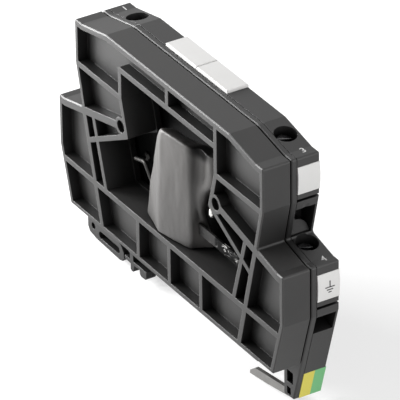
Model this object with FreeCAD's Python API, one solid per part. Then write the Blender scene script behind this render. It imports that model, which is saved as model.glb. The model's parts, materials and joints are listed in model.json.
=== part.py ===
import FreeCAD, Part
import math
import os

# Two-tier surge arrester for a 35 mm mounting rail, in millimetres.
# Drawing frame: x across the rail from the middle of the outline, y along the rail from the
# open ribbed side, z up from the ribbed frame's bottom edge. At export every piece is moved to
# the rail frame: origin at the middle of the rail seat, half way through the width.

# Outline, given as half lengths and heights that the left and right sides share
LOWER_HALF = 40.5
STEP_FLAT = 2.0
FOOT_SET_IN = 3.6
UPPER_HALF = 33.8
NECK_SET_IN = 2.2
SHOULDER_FLAT = 2.6
TOP_HALF = 22.1
LOWER_SIDE_Z = 12.1
STEP_Z = 22.8
NECK_Z = 24.4
UPPER_SIDE_Z = 33.4
SHOULDER_Z = 42.6
TOP_Z = 44.5
CORNER_R = 0.45
EDGE_CHAMFER = 0.22

# Layers along y
FRAME_T = 6.1
SEAM = 0.2
SEAM_DEPTH = 0.7
COVER_SEAM = 0.12
COVER_T = 1.2
HOUSING_T = 4.9
HOUSING_WALL = 0.6

# Ribbed frame
FRAME_FLOOR = 1.5
POCKET_DEPTH = 2.2
SIDE_WALL = 1.0
TOP_WALL = 1.2
BOTTOM_WALL = 0.9
RAMP_WALL = 1.6
RIB_T = 1.2
THIN_RIB_T = 1.05
FLOOR_RIB_Z = 9.35
ROOF_RIB_Z = 39.3
TIER_RIB_Z = 33.2
CAVITY_HALF = 17.2
CAVITY_NECK_HALF = 15.1
CAVITY_NECK_Z = 25.6
OUTER_LEG_FOOT = 24.8
INNER_LEG_TOP = 27.6
INNER_LEG_FOOT = 23.1
BRACE_OUTER_X = 29.4
BRACE_OUTER_Z = 17.9
LOWER_ROW_STEP = 11.45
BOSS_X = 17.1
BOSS_Z = 26.9
BOSS_R = 1.95
BOSS_HOLE_R = 1.3
PEG_CLEARANCE = 0.05
PEG_TIP = 0.9
WINDOW_LEDGE = 0.9

# Rail, seat and hooks
RAIL_X = 2.5
RAIL_WIDTH = 35.0
RAIL_T = 1.0
RAIL_GAP = 0.3
SEAT_DROP = 7.8
HOOK_WALL = 1.3
HOOK_LIP = 1.3
HOOK_GRIP = 1.3
HOOK_LENGTH = 3.1
RELIEF_DROP = 2.8
POST_FOOT_W = 3.4
POST_FOOT_SLANT = 0.3
POST_DROP = 9.4
SHELF_DROP = 2.0
LATCH_ROOT_X = 26.0
TEETH_BACK = 1.0
LATCH_SLOT = (-36.3, -30.0)
LATCH_SLOT_Z = -9.25
LATCH_SLOT_R = 0.8
LATCH_EYELET = (-39.2, -8.5)
LATCH_EYELET_R = 0.7
LATCH_GAP = (-37.4, -31.8)
LATCH_GAP_Z = -7.0
FOOT_ROOT = 0.5
EARTH_T = 0.8
EARTH_GRIP = 1.9
EARTH_LEG_INNER = 0.2
EARTH_LEG_OUTER = 1.0
POST_WINDOWS = ((1.2, 3.3, -6.2, -3.6), (1.2, 2.5, -9.0, -7.3))
POST_WINDOW_DEPTH = 3.0
TAB_X0 = -4.1
TAB_W = 1.2
REBATE_CLEARANCE = 0.05

# Screw clamps, tilted outwards so that a driver passes the tier above
TILT = 13.5
UPPER_SCREW_INSET = 7.4
LOWER_SCREW_INSET = 6.8
CLAMP_DEPTH = 12.5
HEAD_RECESS = 1.6
HEAD_R = 1.9
HEAD_H = 1.4
SLOT_W = 0.7
SLOT_DEPTH = 0.7
SCREW_R = 1.45
POINT_L = 0.5
POINT_TAPER = 0.45
SLOT_TURN = 70.0
THREAD_CLEARANCE = 0.05
DRIVER_HOLE_R = 2.25
MOUTH_H = 4.4
YOKE_LENGTH = 4.2
YOKE_WALL = 0.5
YOKE_EDGE_R = 0.35
YOKE_FLOOR = 0.7
YOKE_TOP = 1.8
YOKE_HEADROOM = 0.25
YOKE_CLEARANCE = 0.1
YOKE_TRAVEL = 3.0
BAR_T = 1.0
BAR_W = 3.0
BAR_REACH = 8.0
BAR_CLEARANCE = 0.1
BAR_NOSE = 1.0
BAR_SHOULDER = 0.5
MOUTH_REACH = 12.0
DRIVER_REACH = 8.0
FUNNEL_FOOT = 0.3
FUNNEL_LIP = 1.2
FUNNEL_BACK = 0.6
FUNNEL_LEAN = 0.9
FUNNEL_R = 2.6
SHANK_HOLE_R = 1.65
REST_GAP = 0.05

# Circuit board and what it carries
BOARD_T = 1.0
BOARD_GAP = 0.8
BOARD_UPPER_INSET = 15.6
BOARD_LOWER_INSET = 14.8
BOARD_CLEARANCE = 0.25
BOARD_BOTTOM_Z = -1.0
BOARD_SHOULDER_Z = 23.6
BOARD_TOP_Z = 42.0
POST_R = 1.2
POST_UPPER = (15.5, 39.5)
POST_LOWER = (22.5, 3.0)
DIODE_AT = (9.0, 30.0)
DIODE_SIZE = (4.6, 3.6, 2.1)
RESISTOR_AT = (9.0, 17.0)
RESISTOR_SIZE = (6.3, 3.2, 0.7)
CHIP_CHAMFER = 0.2
LEAD_R = 0.4
LEAD_BEND = 0.9
LEAD_END_GAP = 0.3
LINK_X1 = 21.4
LINK_Y = 3.3
LINK_T = 0.4
LINK_Z = 13.6
LINK_W = 2.2

# Wrapped block: two varistor discs and a gas tube under one shrunk sleeve
SLEEVE_YAW = 11.3
SLEEVE_X = -0.9
SLEEVE_FRONT = 0.65
SLEEVE_T = 4.0
SLEEVE_TOP_Z = 32.8
SLEEVE_BOTTOM_Z = 10.2
SLEEVE_WALL = 0.45
PINCH = 2.1
PINCH_Z = 18.5
PINCH_END_Z = 23.5
CORE_GAP = 0.05
DISC_R = 4.4
DISC_T = 3.0
DISC_EDGE_R = 0.5
DISC_X = 1.6
DISC_Y = 0.5
DISC_LOWER_Z = 16.6
DISC_UPPER_Z = 27.4
TUBE_X = 8.5
TUBE_Y = 5.8
TUBE_R = 1.75
TUBE_Z = 26.0
TUBE_LENGTH = 5.5
TUBE_CAP = 0.9
TUBE_RING = 0.8
TUBE_STEP = 0.15
BULGE_OVERHANG = 0.5
TAIL_X = 6.5
TAIL_Y = 4.7
TAIL_R = 1.0
TAIL_H = 3.0

# Label plates
MARKER_GAP = 0.1
MARKER_H = 5.8
MARKER_T = 1.5
MARKER_CROWN = 0.25
TOP_MARKER_L = 10.9
TOP_MARKER_LEFT = -12.6
TOP_MARKER_T = 1.4
TOP_MARKER_PROUD = 0.55
LIP_H = 0.9
GROOVE_H = 0.6
GROOVE_DEPTH = 1.5
FIELD_TOP_DROP = 3.0
FIELD_T = 0.4
MARKER_CHAMFER = 0.15
MARKER_RISE = {"upper": 1.3, "lower": 2.8}

STEP_FLAT_HALF = LOWER_HALF - STEP_FLAT
FOOT_HALF = LOWER_HALF - FOOT_SET_IN
NECK_HALF = UPPER_HALF - NECK_SET_IN
SHOULDER_HALF = UPPER_HALF - SHOULDER_FLAT
POST_OUTER_X = FOOT_HALF - FOOT_SET_IN * POST_DROP / LOWER_SIDE_Z
POST_INNER_X = POST_OUTER_X - POST_FOOT_W
UPPER_SCREW_X = UPPER_HALF - UPPER_SCREW_INSET
LOWER_SCREW_X = LOWER_HALF - LOWER_SCREW_INSET
BOARD_UPPER_HALF = UPPER_HALF - BOARD_UPPER_INSET
BOARD_LOWER_HALF = LOWER_HALF - BOARD_LOWER_INSET
COVER_Y = FRAME_T + SEAM
HOUSING_Y = COVER_Y + COVER_T
WIDTH = HOUSING_Y + HOUSING_T
CHAMBER_Y = WIDTH - HOUSING_WALL
CLAMP_Y = (HOUSING_Y + CHAMBER_Y) / 2
YOKE_HALF_W = (CHAMBER_Y - HOUSING_Y) / 2 - YOKE_CLEARANCE
HOOK_Y = WIDTH - HOOK_LENGTH
TEETH_Y = HOUSING_Y + TEETH_BACK
BOARD_Y = HOUSING_Y + BOARD_GAP
BOARD_BACK_Y = BOARD_Y + BOARD_T
SEAT_Z = -SEAT_DROP
LIP_Z = SEAT_Z - RAIL_T - RAIL_GAP
RAIL_LEFT = RAIL_X - RAIL_WIDTH / 2
RAIL_RIGHT = RAIL_X + RAIL_WIDTH / 2
X_AXIS = FreeCAD.Vector(1, 0, 0)
Y_AXIS = FreeCAD.Vector(0, 1, 0)
Z_AXIS = FreeCAD.Vector(0, 0, 1)
EPS = 0.01
OVERCUT = 1.0


def prism(points, y0, y1):
    """Extrude a polygon of (x, z) points from y0 to y1."""
    corners = [FreeCAD.Vector(x, y0, z) for x, z in points]
    face = Part.Face(Part.makePolygon(corners + corners[:1]))
    return face.extrude(FreeCAD.Vector(0, y1 - y0, 0))


def block(x0, x1, y0, y1, z0, z1):
    return Part.makeBox(x1 - x0, y1 - y0, z1 - z0, FreeCAD.Vector(x0, y0, z0))


def peg(x, z, y0, y1, radius):
    return Part.makeCylinder(radius, y1 - y0, FreeCAD.Vector(x, y0, z), Y_AXIS)


def upright(x, y, z0, z1, radius):
    return Part.makeCylinder(radius, z1 - z0, FreeCAD.Vector(x, y, z0))


def rib(x0, z0, x1, z1, thickness, y0, y1):
    """A straight wall between two points of the drawing plane."""
    length = math.hypot(x1 - x0, z1 - z0)
    nx = -(z1 - z0) / length * thickness / 2
    nz = (x1 - x0) / length * thickness / 2
    sides = [(x0 + nx, z0 + nz), (x1 + nx, z1 + nz), (x1 - nx, z1 - nz), (x0 - nx, z0 - nz)]
    return prism(sides, y0, y1)


def mirrored(shape):
    return shape.mirror(FreeCAD.Vector(0, 0, 0), X_AXIS)


def join(shapes):
    whole = shapes[0]
    for shape in shapes[1:]:
        whole = whole.fuse(shape)
    return whole.removeSplitter()


def flip(points):
    """The same outline on the left side, in reverse order so that it joins on."""
    return [(-x, z) for x, z in reversed(points)]


def side_x(z):
    """The lower side face, which slopes in below its vertical part."""
    return FOOT_HALF + FOOT_SET_IN * z / LOWER_SIDE_Z


def tier_face_x(z):
    """The upper tier's end face below its vertical part."""
    return NECK_HALF + (UPPER_HALF - NECK_HALF) * (z - NECK_Z) / (UPPER_SIDE_Z - NECK_Z)


def ramp_z(x):
    """Height of the lower step's ramp, and of the rib that carries it on inwards."""
    return STEP_Z + (NECK_Z - STEP_Z) * (STEP_FLAT_HALF - x) / (STEP_FLAT_HALF - NECK_HALF)


def shoulder_z(x):
    return SHOULDER_Z + (TOP_Z - SHOULDER_Z) * (SHOULDER_HALF - x) / (SHOULDER_HALF - TOP_HALF)


def right_profile():
    """The right side from its lower side face up to the flat top."""
    return [
        (LOWER_HALF, LOWER_SIDE_Z),
        (LOWER_HALF, STEP_Z),
        (STEP_FLAT_HALF, STEP_Z),
        (NECK_HALF, NECK_Z),
        (UPPER_HALF, UPPER_SIDE_Z),
        (UPPER_HALF, SHOULDER_Z),
        (SHOULDER_HALF, SHOULDER_Z),
        (TOP_HALF, TOP_Z),
    ]


def frame_outline():
    right = [(FOOT_HALF, 0.0)] + right_profile()
    return right + flip(right)


def body_outline():
    """Cover and housing: the frame's outline carried down to the rail seat and the right post."""
    seat_end = RAIL_RIGHT + RAIL_GAP + HOOK_WALL
    foot = [
        (-side_x(-SHELF_DROP), -SHELF_DROP),
        (-LATCH_ROOT_X, -SHELF_DROP),
        (-LATCH_ROOT_X, SEAT_Z),
        (seat_end, SEAT_Z),
        (seat_end, -RELIEF_DROP),
        (POST_INNER_X, -RELIEF_DROP),
        (POST_INNER_X, -POST_DROP - POST_FOOT_SLANT),
        (POST_OUTER_X, -POST_DROP),
    ]
    return foot + right_profile() + flip(right_profile())


def inset(points, walls):
    """Move each edge of a counter-clockwise polygon inwards by its own wall thickness."""
    count = len(points)
    lines = []
    for i in range(count):
        (x0, z0), (x1, z1) = points[i], points[(i + 1) % count]
        length = math.hypot(x1 - x0, z1 - z0)
        dx, dz = (x1 - x0) / length, (z1 - z0) / length
        lines.append((x0 - dz * walls[i], z0 + dx * walls[i], dx, dz))
    corners = []
    for i in range(count):
        ax, az, adx, adz = lines[i - 1]
        bx, bz, bdx, bdz = lines[i]
        t = ((bx - ax) * bdz - (bz - az) * bdx) / (adx * bdz - adz * bdx)
        corners.append((ax + adx * t, az + adz * t))
    return corners


def slab(points, y0, y1, front, back):
    """An outline with rounded corners and, where asked, chamfered face edges."""
    solid = prism(points, y0, y1)
    across = [e for e in solid.Edges if abs(e.Vertexes[0].Y - e.Vertexes[-1].Y) > EPS]
    solid = solid.makeFillet(CORNER_R, across)
    rims = []
    for y, wanted in ((y0, front), (y1, back)):
        if wanted:
            rims += [e for e in solid.Edges if all(abs(v.Y - y) < EPS for v in e.Vertexes)]
    return solid.makeChamfer(EDGE_CHAMFER, rims) if rims else solid


def frame_ribs(y0, y1):
    """Every rib of the frame, drawn once for the right side and mirrored."""
    ribs = [
        (NECK_HALF - 0.5, NECK_Z, OUTER_LEG_FOOT, 0.0, RIB_T),
        (INNER_LEG_TOP, NECK_Z, INNER_LEG_FOOT, FLOOR_RIB_Z, THIN_RIB_T),
        (NECK_HALF, ramp_z(NECK_HALF) - RAMP_WALL / 2, BOSS_X, ramp_z(BOSS_X) - RAMP_WALL / 2, RAMP_WALL),
        (CAVITY_NECK_HALF, CAVITY_NECK_Z, BRACE_OUTER_X, BRACE_OUTER_Z, THIN_RIB_T),
        (CAVITY_HALF, ROOF_RIB_Z, CAVITY_HALF, TIER_RIB_Z, THIN_RIB_T),
        (CAVITY_HALF, TIER_RIB_Z, CAVITY_NECK_HALF, CAVITY_NECK_Z, THIN_RIB_T),
        (CAVITY_HALF, TIER_RIB_Z, UPPER_HALF, TIER_RIB_Z, RIB_T),
        (LOWER_ROW_STEP, 0.0, LOWER_ROW_STEP, FLOOR_RIB_Z, THIN_RIB_T),
    ]
    shapes = []
    for x0, z0, x1, z1, thickness in ribs:
        right = rib(x0, z0, x1, z1, thickness, y0, y1)
        shapes += [right, mirrored(right)]
    for x, z in ((CAVITY_HALF, TIER_RIB_Z), (CAVITY_HALF, ROOF_RIB_Z), (CAVITY_NECK_HALF, CAVITY_NECK_Z)):
        knot = peg(x, z, y0, y1, THIN_RIB_T / 2)
        shapes += [knot, mirrored(knot)]
    shapes += [
        rib(-LOWER_HALF, FLOOR_RIB_Z, LOWER_HALF, FLOOR_RIB_Z, RIB_T, y0, y1),
        rib(-CAVITY_HALF, ROOF_RIB_Z, CAVITY_HALF, ROOF_RIB_Z, RIB_T, y0, y1),
        rib(0.0, 0.0, 0.0, FLOOR_RIB_Z, THIN_RIB_T, y0, y1),
        rib(0.0, ROOF_RIB_Z, 0.0, TOP_Z, THIN_RIB_T, y0, y1),
        rib(CAVITY_HALF, ROOF_RIB_Z, CAVITY_HALF, TOP_Z, THIN_RIB_T, y0, y1),
    ]
    for side in (-1, 1):
        shapes.append(peg(side * BOSS_X, BOSS_Z, y0, y1, BOSS_R))
    return Part.makeCompound(shapes)


def cavity_outline():
    """Centre lines of the walls round the middle cavity."""
    slope = (INNER_LEG_TOP - INNER_LEG_FOOT) / (NECK_Z - FLOOR_RIB_Z)
    fall = (CAVITY_NECK_Z - BRACE_OUTER_Z) / (BRACE_OUTER_X - CAVITY_NECK_HALF)
    rise = CAVITY_NECK_Z + fall * CAVITY_NECK_HALF - FLOOR_RIB_Z
    wing_x = (INNER_LEG_FOOT + slope * rise) / (1 + slope * fall)
    wing_z = CAVITY_NECK_Z - fall * (wing_x - CAVITY_NECK_HALF)
    right = [
        (INNER_LEG_FOOT, FLOOR_RIB_Z),
        (wing_x, wing_z),
        (CAVITY_NECK_HALF, CAVITY_NECK_Z),
        (CAVITY_HALF, TIER_RIB_Z),
        (CAVITY_HALF, ROOF_RIB_Z),
    ]
    return right + flip(right)


def ribbed_frame():
    """Moulded tray: rim and ribs on both sides of a floor, a window and two bosses."""
    outer = slab(frame_outline(), 0.0, FRAME_T, True, True)
    side = [SIDE_WALL, SIDE_WALL, RAMP_WALL, RAMP_WALL, SIDE_WALL, SIDE_WALL, TOP_WALL, TOP_WALL]
    walls = side + [TOP_WALL] + side[::-1] + [BOTTOM_WALL]
    ribs = frame_ribs(0.0, COVER_Y)
    inside = inset(frame_outline(), walls)
    pockets = prism(inside, -EPS, POCKET_DEPTH).cut(ribs)
    hollows = prism(inside, POCKET_DEPTH + FRAME_FLOOR, COVER_Y + EPS).cut(ribs)
    window = prism(cavity_outline(), -EPS, COVER_Y + EPS).cut(ribs)
    land = prism(inset(frame_outline(), [SEAM_DEPTH] * len(frame_outline())), FRAME_T - EPS, COVER_Y)
    frame = outer.fuse(land).cut(pockets).cut(hollows).cut(window)
    for side in (-1, 1):
        frame = frame.cut(peg(side * BOSS_X, BOSS_Z, -EPS, COVER_Y + EPS, BOSS_HOLE_R))
    return frame


def latch_outline():
    """Spring loop of the left foot, with its lever nose at the outer end."""
    return [
        (-38.2, -SHELF_DROP), (-41.3, -6.2), (-41.3, -9.4), (-40.6, -10.4), (-38.0, -10.9),
        (-29.2, -11.2), (-28.1, -10.9), (-27.6, -10.1), (-27.7, -8.9), (-28.6, -7.7),
        (-30.6, -7.0), (-30.6, -SHELF_DROP),
    ]


def latch(y0, y1):
    """The loop with its long slot, its eyelet and the gap under its root."""
    loop = prism(latch_outline(), y0, y1)
    near, far = y0 - OVERCUT, y1 + OVERCUT
    z0, z1 = LATCH_SLOT_Z - LATCH_SLOT_R, LATCH_SLOT_Z + LATCH_SLOT_R
    loop = loop.cut(block(LATCH_SLOT[0], LATCH_SLOT[1], near, far, z0, z1))
    for x in LATCH_SLOT:
        loop = loop.cut(peg(x, LATCH_SLOT_Z, near, far, LATCH_SLOT_R))
    loop = loop.cut(peg(LATCH_EYELET[0], LATCH_EYELET[1], near, far, LATCH_EYELET_R))
    return loop.cut(block(LATCH_GAP[0], LATCH_GAP[1], near, far, LATCH_GAP_Z, -SHELF_DROP - 1.0))


def teeth(y0, y1):
    """Two release teeth on a short strip that hangs beside the latch."""
    strip = [
        (-27.2, -9.0), (-27.2, -9.7), (-25.1, -9.9), (-25.1, -11.1), (-24.7, -11.4), (-24.1, -11.3),
        (-23.7, -9.8), (-21.7, -9.6), (-21.6, -10.5), (-21.1, -10.9), (-19.5, -10.8), (-19.2, -10.4),
        (-19.2, -9.0),
    ]
    return join([prism(strip, y0, y1), block(-25.3, -24.1, y0, y1, -9.2, SEAT_Z + FOOT_ROOT)])


def hook(edge_x, inward, y0, y1):
    """J under one rail flange: a wall beside the flange and a lip below it."""
    wall = edge_x - inward * RAIL_GAP
    points = [
        (wall, SEAT_Z + FOOT_ROOT),
        (wall, LIP_Z),
        (edge_x + inward * HOOK_GRIP, LIP_Z),
        (edge_x + inward * (HOOK_GRIP - 0.3), LIP_Z - HOOK_LIP),
        (wall - inward * HOOK_WALL, LIP_Z - HOOK_LIP),
        (wall - inward * HOOK_WALL, SEAT_Z + FOOT_ROOT),
    ]
    return prism(points, y0, y1)


def tilted(shape, level, side):
    """Turn a clamp piece from its own frame to its place in the housing."""
    x, z = clamp_centre(level)
    shape = shape.rotated(FreeCAD.Vector(0, 0, 0), Y_AXIS, TILT)
    shape = shape.translated(FreeCAD.Vector(x, CLAMP_Y, z))
    return shape if side > 0 else mirrored(shape)


def clamp_centre(level):
    """Where the wire's axis crosses the screw's axis, on the right side."""
    angle = math.radians(TILT)
    if level == "upper":
        x, z = UPPER_SCREW_X, shoulder_z(UPPER_SCREW_X)
    else:
        x, z = LOWER_SCREW_X, ramp_z(LOWER_SCREW_X)
    return x - CLAMP_DEPTH * math.sin(angle), z - CLAMP_DEPTH * math.cos(angle)


def clamp_screw():
    """Slotted cheese-head screw whose tip stands on the current bar."""
    top = CLAMP_DEPTH - HEAD_RECESS
    tip = MOUTH_H / 2 + BAR_T
    head = upright(0, 0, top - HEAD_H, top, HEAD_R)
    rim = [e for e in head.Edges if len(e.Vertexes) == 1 and abs(e.Vertexes[0].Z - top) < EPS]
    head = head.makeChamfer(EDGE_CHAMFER, rim)
    head = head.cut(block(-2 * HEAD_R, 2 * HEAD_R, -SLOT_W / 2, SLOT_W / 2, top - SLOT_DEPTH, top + OVERCUT))
    shank = upright(0, 0, tip + POINT_L, top - HEAD_H, SCREW_R)
    point = Part.makeCone(SCREW_R - POINT_TAPER, SCREW_R, POINT_L, FreeCAD.Vector(0, 0, tip))
    screw = join([head, shank, point])
    return screw.rotated(FreeCAD.Vector(0, 0, 0), Z_AXIS, SLOT_TURN)


def clamp_yoke():
    """Steel box that the screw draws up: wire and bar pass through its window."""
    half_l = YOKE_LENGTH / 2
    window_z0 = -MOUTH_H / 2 + REST_GAP
    window_z1 = MOUTH_H / 2 + BAR_T + YOKE_HEADROOM
    inner = YOKE_HALF_W - YOKE_WALL
    body = block(-half_l, half_l, -YOKE_HALF_W, YOKE_HALF_W, window_z0 - YOKE_FLOOR, window_z1 + YOKE_TOP)
    along = [e for e in body.Edges if abs(e.Vertexes[0].X - e.Vertexes[-1].X) > EPS]
    body = body.makeFillet(YOKE_EDGE_R, along)
    body = body.cut(block(-2 * half_l, 2 * half_l, -inner, inner, window_z0, window_z1))
    hole_top = window_z1 + YOKE_TOP + OVERCUT
    return body.cut(upright(0, 0, window_z1 - OVERCUT, hole_top, SCREW_R + THREAD_CLEARANCE))


def current_bar():
    """Flat conductor through the yoke, with a narrow tail that lies on the board."""
    z0 = MOUTH_H / 2 - REST_GAP
    z1 = z0 + BAR_T
    tail_y0 = BOARD_BACK_Y - CLAMP_Y
    main = block(-YOKE_LENGTH / 2 - BAR_SHOULDER, YOKE_LENGTH / 2 + BAR_NOSE, -BAR_W / 2, BAR_W / 2, z0, z1)
    tail = block(-BAR_REACH, -YOKE_LENGTH / 2, tail_y0, BAR_W / 2, z0, z1)
    return join([main, tail])


def clamp_space():
    """All that is cut from the housing for one clamp, in the clamp's own frame."""
    near = HOUSING_Y - CLAMP_Y - EPS
    far = CHAMBER_Y - CLAMP_Y
    half_l = YOKE_LENGTH / 2 + YOKE_CLEARANCE
    yoke_bottom = -MOUTH_H / 2 + REST_GAP - YOKE_FLOOR
    yoke_top = MOUTH_H / 2 + BAR_T + YOKE_HEADROOM + YOKE_TOP + YOKE_TRAVEL
    z0 = MOUTH_H / 2 - REST_GAP
    chamber = block(-half_l, half_l, near, far, yoke_bottom - YOKE_CLEARANCE, yoke_top + YOKE_CLEARANCE)
    z1 = z0 + BAR_T
    bar_far = BAR_W / 2 + BAR_CLEARANCE
    bar_end = YOKE_LENGTH / 2 + BAR_NOSE + BAR_CLEARANCE
    mouth = block(0, MOUTH_REACH, near, far, -MOUTH_H / 2, MOUTH_H / 2)
    back = -BAR_REACH - OVERCUT / 2
    channel = block(back, bar_end, near, bar_far, z0 - BAR_CLEARANCE, z1 + BAR_CLEARANCE)
    shank = upright(0, 0, yoke_top - OVERCUT, CLAMP_DEPTH, SHANK_HOLE_R)
    return Part.makeCompound([chamber, mouth, channel, shank, driver_bore()])


def driver_bore():
    """Round bore above a clamp's ledge, which also grazes the cover."""
    seat = CLAMP_DEPTH - HEAD_RECESS - HEAD_H - REST_GAP
    return upright(0, 0, seat, CLAMP_DEPTH + DRIVER_REACH, DRIVER_HOLE_R)


def marker_z(level):
    """Lower edge of an end label's recess."""
    face_z = UPPER_SIDE_Z if level == "upper" else LOWER_SIDE_Z
    return face_z + MARKER_RISE[level]


def face_x(level):
    return UPPER_HALF if level == "upper" else LOWER_HALF


def label_cuts(level):
    """Recess for the end label and the narrow groove below it, open to the far side."""
    x, z = face_x(level), marker_z(level)
    near, far = HOUSING_Y - EPS, WIDTH + OVERCUT
    recess = block(x - MARKER_T, x + OVERCUT, near, far, z, z + MARKER_H + 2 * MARKER_GAP)
    groove_top = z - LIP_H
    groove = block(x - GROOVE_DEPTH, x + OVERCUT, near, far, groove_top - GROOVE_H, groove_top)
    return Part.makeCompound([recess, groove])


def funnel():
    """Cut that lays back the lip under the upper wire entry and rounds its far corner."""
    foot_z = NECK_Z + FUNNEL_FOOT
    lip_z = clamp_centre("upper")[1] - MOUTH_H + FUNNEL_LIP
    inner = tier_face_x(NECK_Z) - FUNNEL_BACK
    points = [(inner, foot_z), (inner - FUNNEL_LEAN, lip_z), (UPPER_HALF, lip_z), (UPPER_HALF, foot_z)]
    front = prism(points, HOUSING_Y - EPS, CHAMBER_Y)
    start_x = inner - FUNNEL_R
    middle_y = CHAMBER_Y - FUNNEL_R
    corner = block(start_x, UPPER_HALF, middle_y, CHAMBER_Y, foot_z, lip_z)
    centre = FreeCAD.Vector(start_x, middle_y, foot_z)
    keep = Part.makeCylinder(FUNNEL_R, UPPER_HALF - start_x, centre, X_AXIS)
    return Part.makeCompound([front, corner.cut(keep)])


def board_outline():
    right = [
        (BOARD_LOWER_HALF, BOARD_BOTTOM_Z),
        (BOARD_LOWER_HALF, BOARD_SHOULDER_Z),
        (BOARD_UPPER_HALF, BOARD_SHOULDER_Z),
        (BOARD_UPPER_HALF, BOARD_TOP_Z),
    ]
    return right + flip(right)


def field_outline(thickness):
    """Strip of the post's sloping end face that carries the earth colours."""
    z1, z0 = -FIELD_TOP_DROP, -POST_DROP
    return [
        (side_x(z0) - thickness, z0), (side_x(z0), z0), (side_x(z1), z1), (side_x(z1) - thickness, z1),
    ]


def terminal_housing():
    outer = slab(body_outline(), HOUSING_Y, WIDTH, False, True)
    feet = [latch(HOUSING_Y, WIDTH), teeth(HOUSING_Y, TEETH_Y), hook(RAIL_LEFT, 1, HOOK_Y, WIDTH),
            hook(RAIL_RIGHT, -1, HOOK_Y, WIDTH)]
    housing = join([outer] + feet)
    bay = inset(board_outline(), [-BOARD_CLEARANCE] * len(board_outline()))
    housing = housing.cut(prism(bay, HOUSING_Y - EPS, CHAMBER_Y))
    for side in (-1, 1):
        for x, z in (POST_UPPER, POST_LOWER):
            housing = housing.fuse(peg(side * x, z, BOARD_BACK_Y, CHAMBER_Y + EPS, POST_R))
        for level in ("upper", "lower"):
            housing = housing.cut(tilted(clamp_space(), level, side))
            cuts = label_cuts(level)
            housing = housing.cut(cuts if side > 0 else mirrored(cuts))
        housing = housing.cut(funnel() if side > 0 else mirrored(funnel()))
    left = TOP_MARKER_LEFT - MARKER_GAP
    right = TOP_MARKER_LEFT + 2 * (TOP_MARKER_L + MARKER_GAP)
    floor = TOP_Z + TOP_MARKER_PROUD - TOP_MARKER_T
    near, far = HOUSING_Y - EPS, WIDTH + OVERCUT
    housing = housing.cut(block(left, right, near, far, floor, TOP_Z + OVERCUT))
    housing = housing.cut(prism(field_outline(FIELD_T), near, far))
    for x0, x1, z0, z1 in POST_WINDOWS:
        window = block(POST_INNER_X + x0, POST_INNER_X + x1, near, HOUSING_Y + POST_WINDOW_DEPTH, z0, z1)
        housing = housing.cut(window)
    return housing.removeSplitter()


def clamp_point(level, x, z):
    """Drawing plane place of a point of the right clamp's own frame."""
    centre_x, centre_z = clamp_centre(level)
    c, s = math.cos(math.radians(TILT)), math.sin(math.radians(TILT))
    return centre_x + x * c + z * s, centre_z - x * s + z * c


def earth_contact_outline():
    """Stamped contact: foot under the rail's flange, leg in the post, run up to the lower clamp."""
    z0 = MOUTH_H / 2 - REST_GAP
    z1 = z0 + BAR_T
    tab_x1 = TAB_X0 + TAB_W
    head = [clamp_point("lower", x, z) for x, z in ((tab_x1, z0), (tab_x1, z1), (TAB_X0, z1), (TAB_X0, z0))]
    tip_x = RAIL_RIGHT - EARTH_GRIP
    leg_x0 = POST_INNER_X + EARTH_LEG_INNER
    leg_x1 = POST_INNER_X + EARTH_LEG_OUTER
    bend_x = RAIL_RIGHT + EARTH_GRIP * 2
    sole = [(tip_x, -11.4), (tip_x, -12.1), (bend_x, -11.3), (leg_x0 - 0.3, -10.1), (leg_x1, -9.9)]
    inner = [(leg_x0 - 1.3, 1.6), (leg_x0, 0.0), (leg_x0, -8.4), (leg_x0 - 1.1, -8.6), (tip_x + 1.8, -10.0)]
    return sole + [(leg_x1, 2.2)] + head + inner


def earth_contact():
    front = HOUSING_Y - EARTH_T
    return join([prism(earth_contact_outline(), front, HOUSING_Y), earth_tab()])


def earth_tab():
    """Lug that meets the lower right current bar face to face."""
    z0 = MOUTH_H / 2 - REST_GAP
    near = HOUSING_Y - EARTH_T - CLAMP_Y
    local = block(TAB_X0, TAB_X0 + TAB_W, near, BOARD_BACK_Y - CLAMP_Y, z0, z0 + BAR_T)
    return tilted(local, "lower", 1)


def side_cover():
    """Plate between frame and housing: window, pegs for the frame's bosses, latch and post."""
    outline = body_outline()
    plate = slab(outline, COVER_Y, HOUSING_Y - COVER_SEAM, True, False)
    land = prism(inset(outline, [SEAM_DEPTH] * len(outline)), COVER_Y + EPS, HOUSING_Y)
    plate = join([plate, land, latch(COVER_Y, HOUSING_Y), teeth(COVER_Y, HOUSING_Y)])
    window = inset(cavity_outline(), [WINDOW_LEDGE] * len(cavity_outline()))
    plate = plate.cut(prism(window, COVER_Y - EPS, HOUSING_Y + EPS))
    for side in (-1, 1):
        for level in ("upper", "lower"):
            plate = plate.cut(tilted(driver_bore(), level, side))
        plate = plate.fuse(peg(side * BOSS_X, BOSS_Z, PEG_TIP, COVER_Y + EPS, BOSS_HOLE_R - PEG_CLEARANCE))
    for x0, x1, z0, z1 in POST_WINDOWS:
        window = block(POST_INNER_X + x0, POST_INNER_X + x1, COVER_Y - EPS, HOUSING_Y + EPS, z0, z1)
        plate = plate.cut(window)
    grown = inset_closed(earth_contact_outline(), -REBATE_CLEARANCE)
    rebate = prism(grown, HOUSING_Y - EARTH_T - REBATE_CLEARANCE, HOUSING_Y + EPS)
    return plate.cut(rebate).removeSplitter()


def inset_closed(points, amount):
    """Same inset all round a clockwise or counter-clockwise polygon."""
    area = sum(a[0] * b[1] - b[0] * a[1] for a, b in zip(points, points[1:] + points[:1]))
    ordered = points if area > 0 else points[::-1]
    return inset(ordered, [amount] * len(ordered))


def circuit_board():
    return prism(board_outline(), BOARD_Y, BOARD_BACK_Y)


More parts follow.
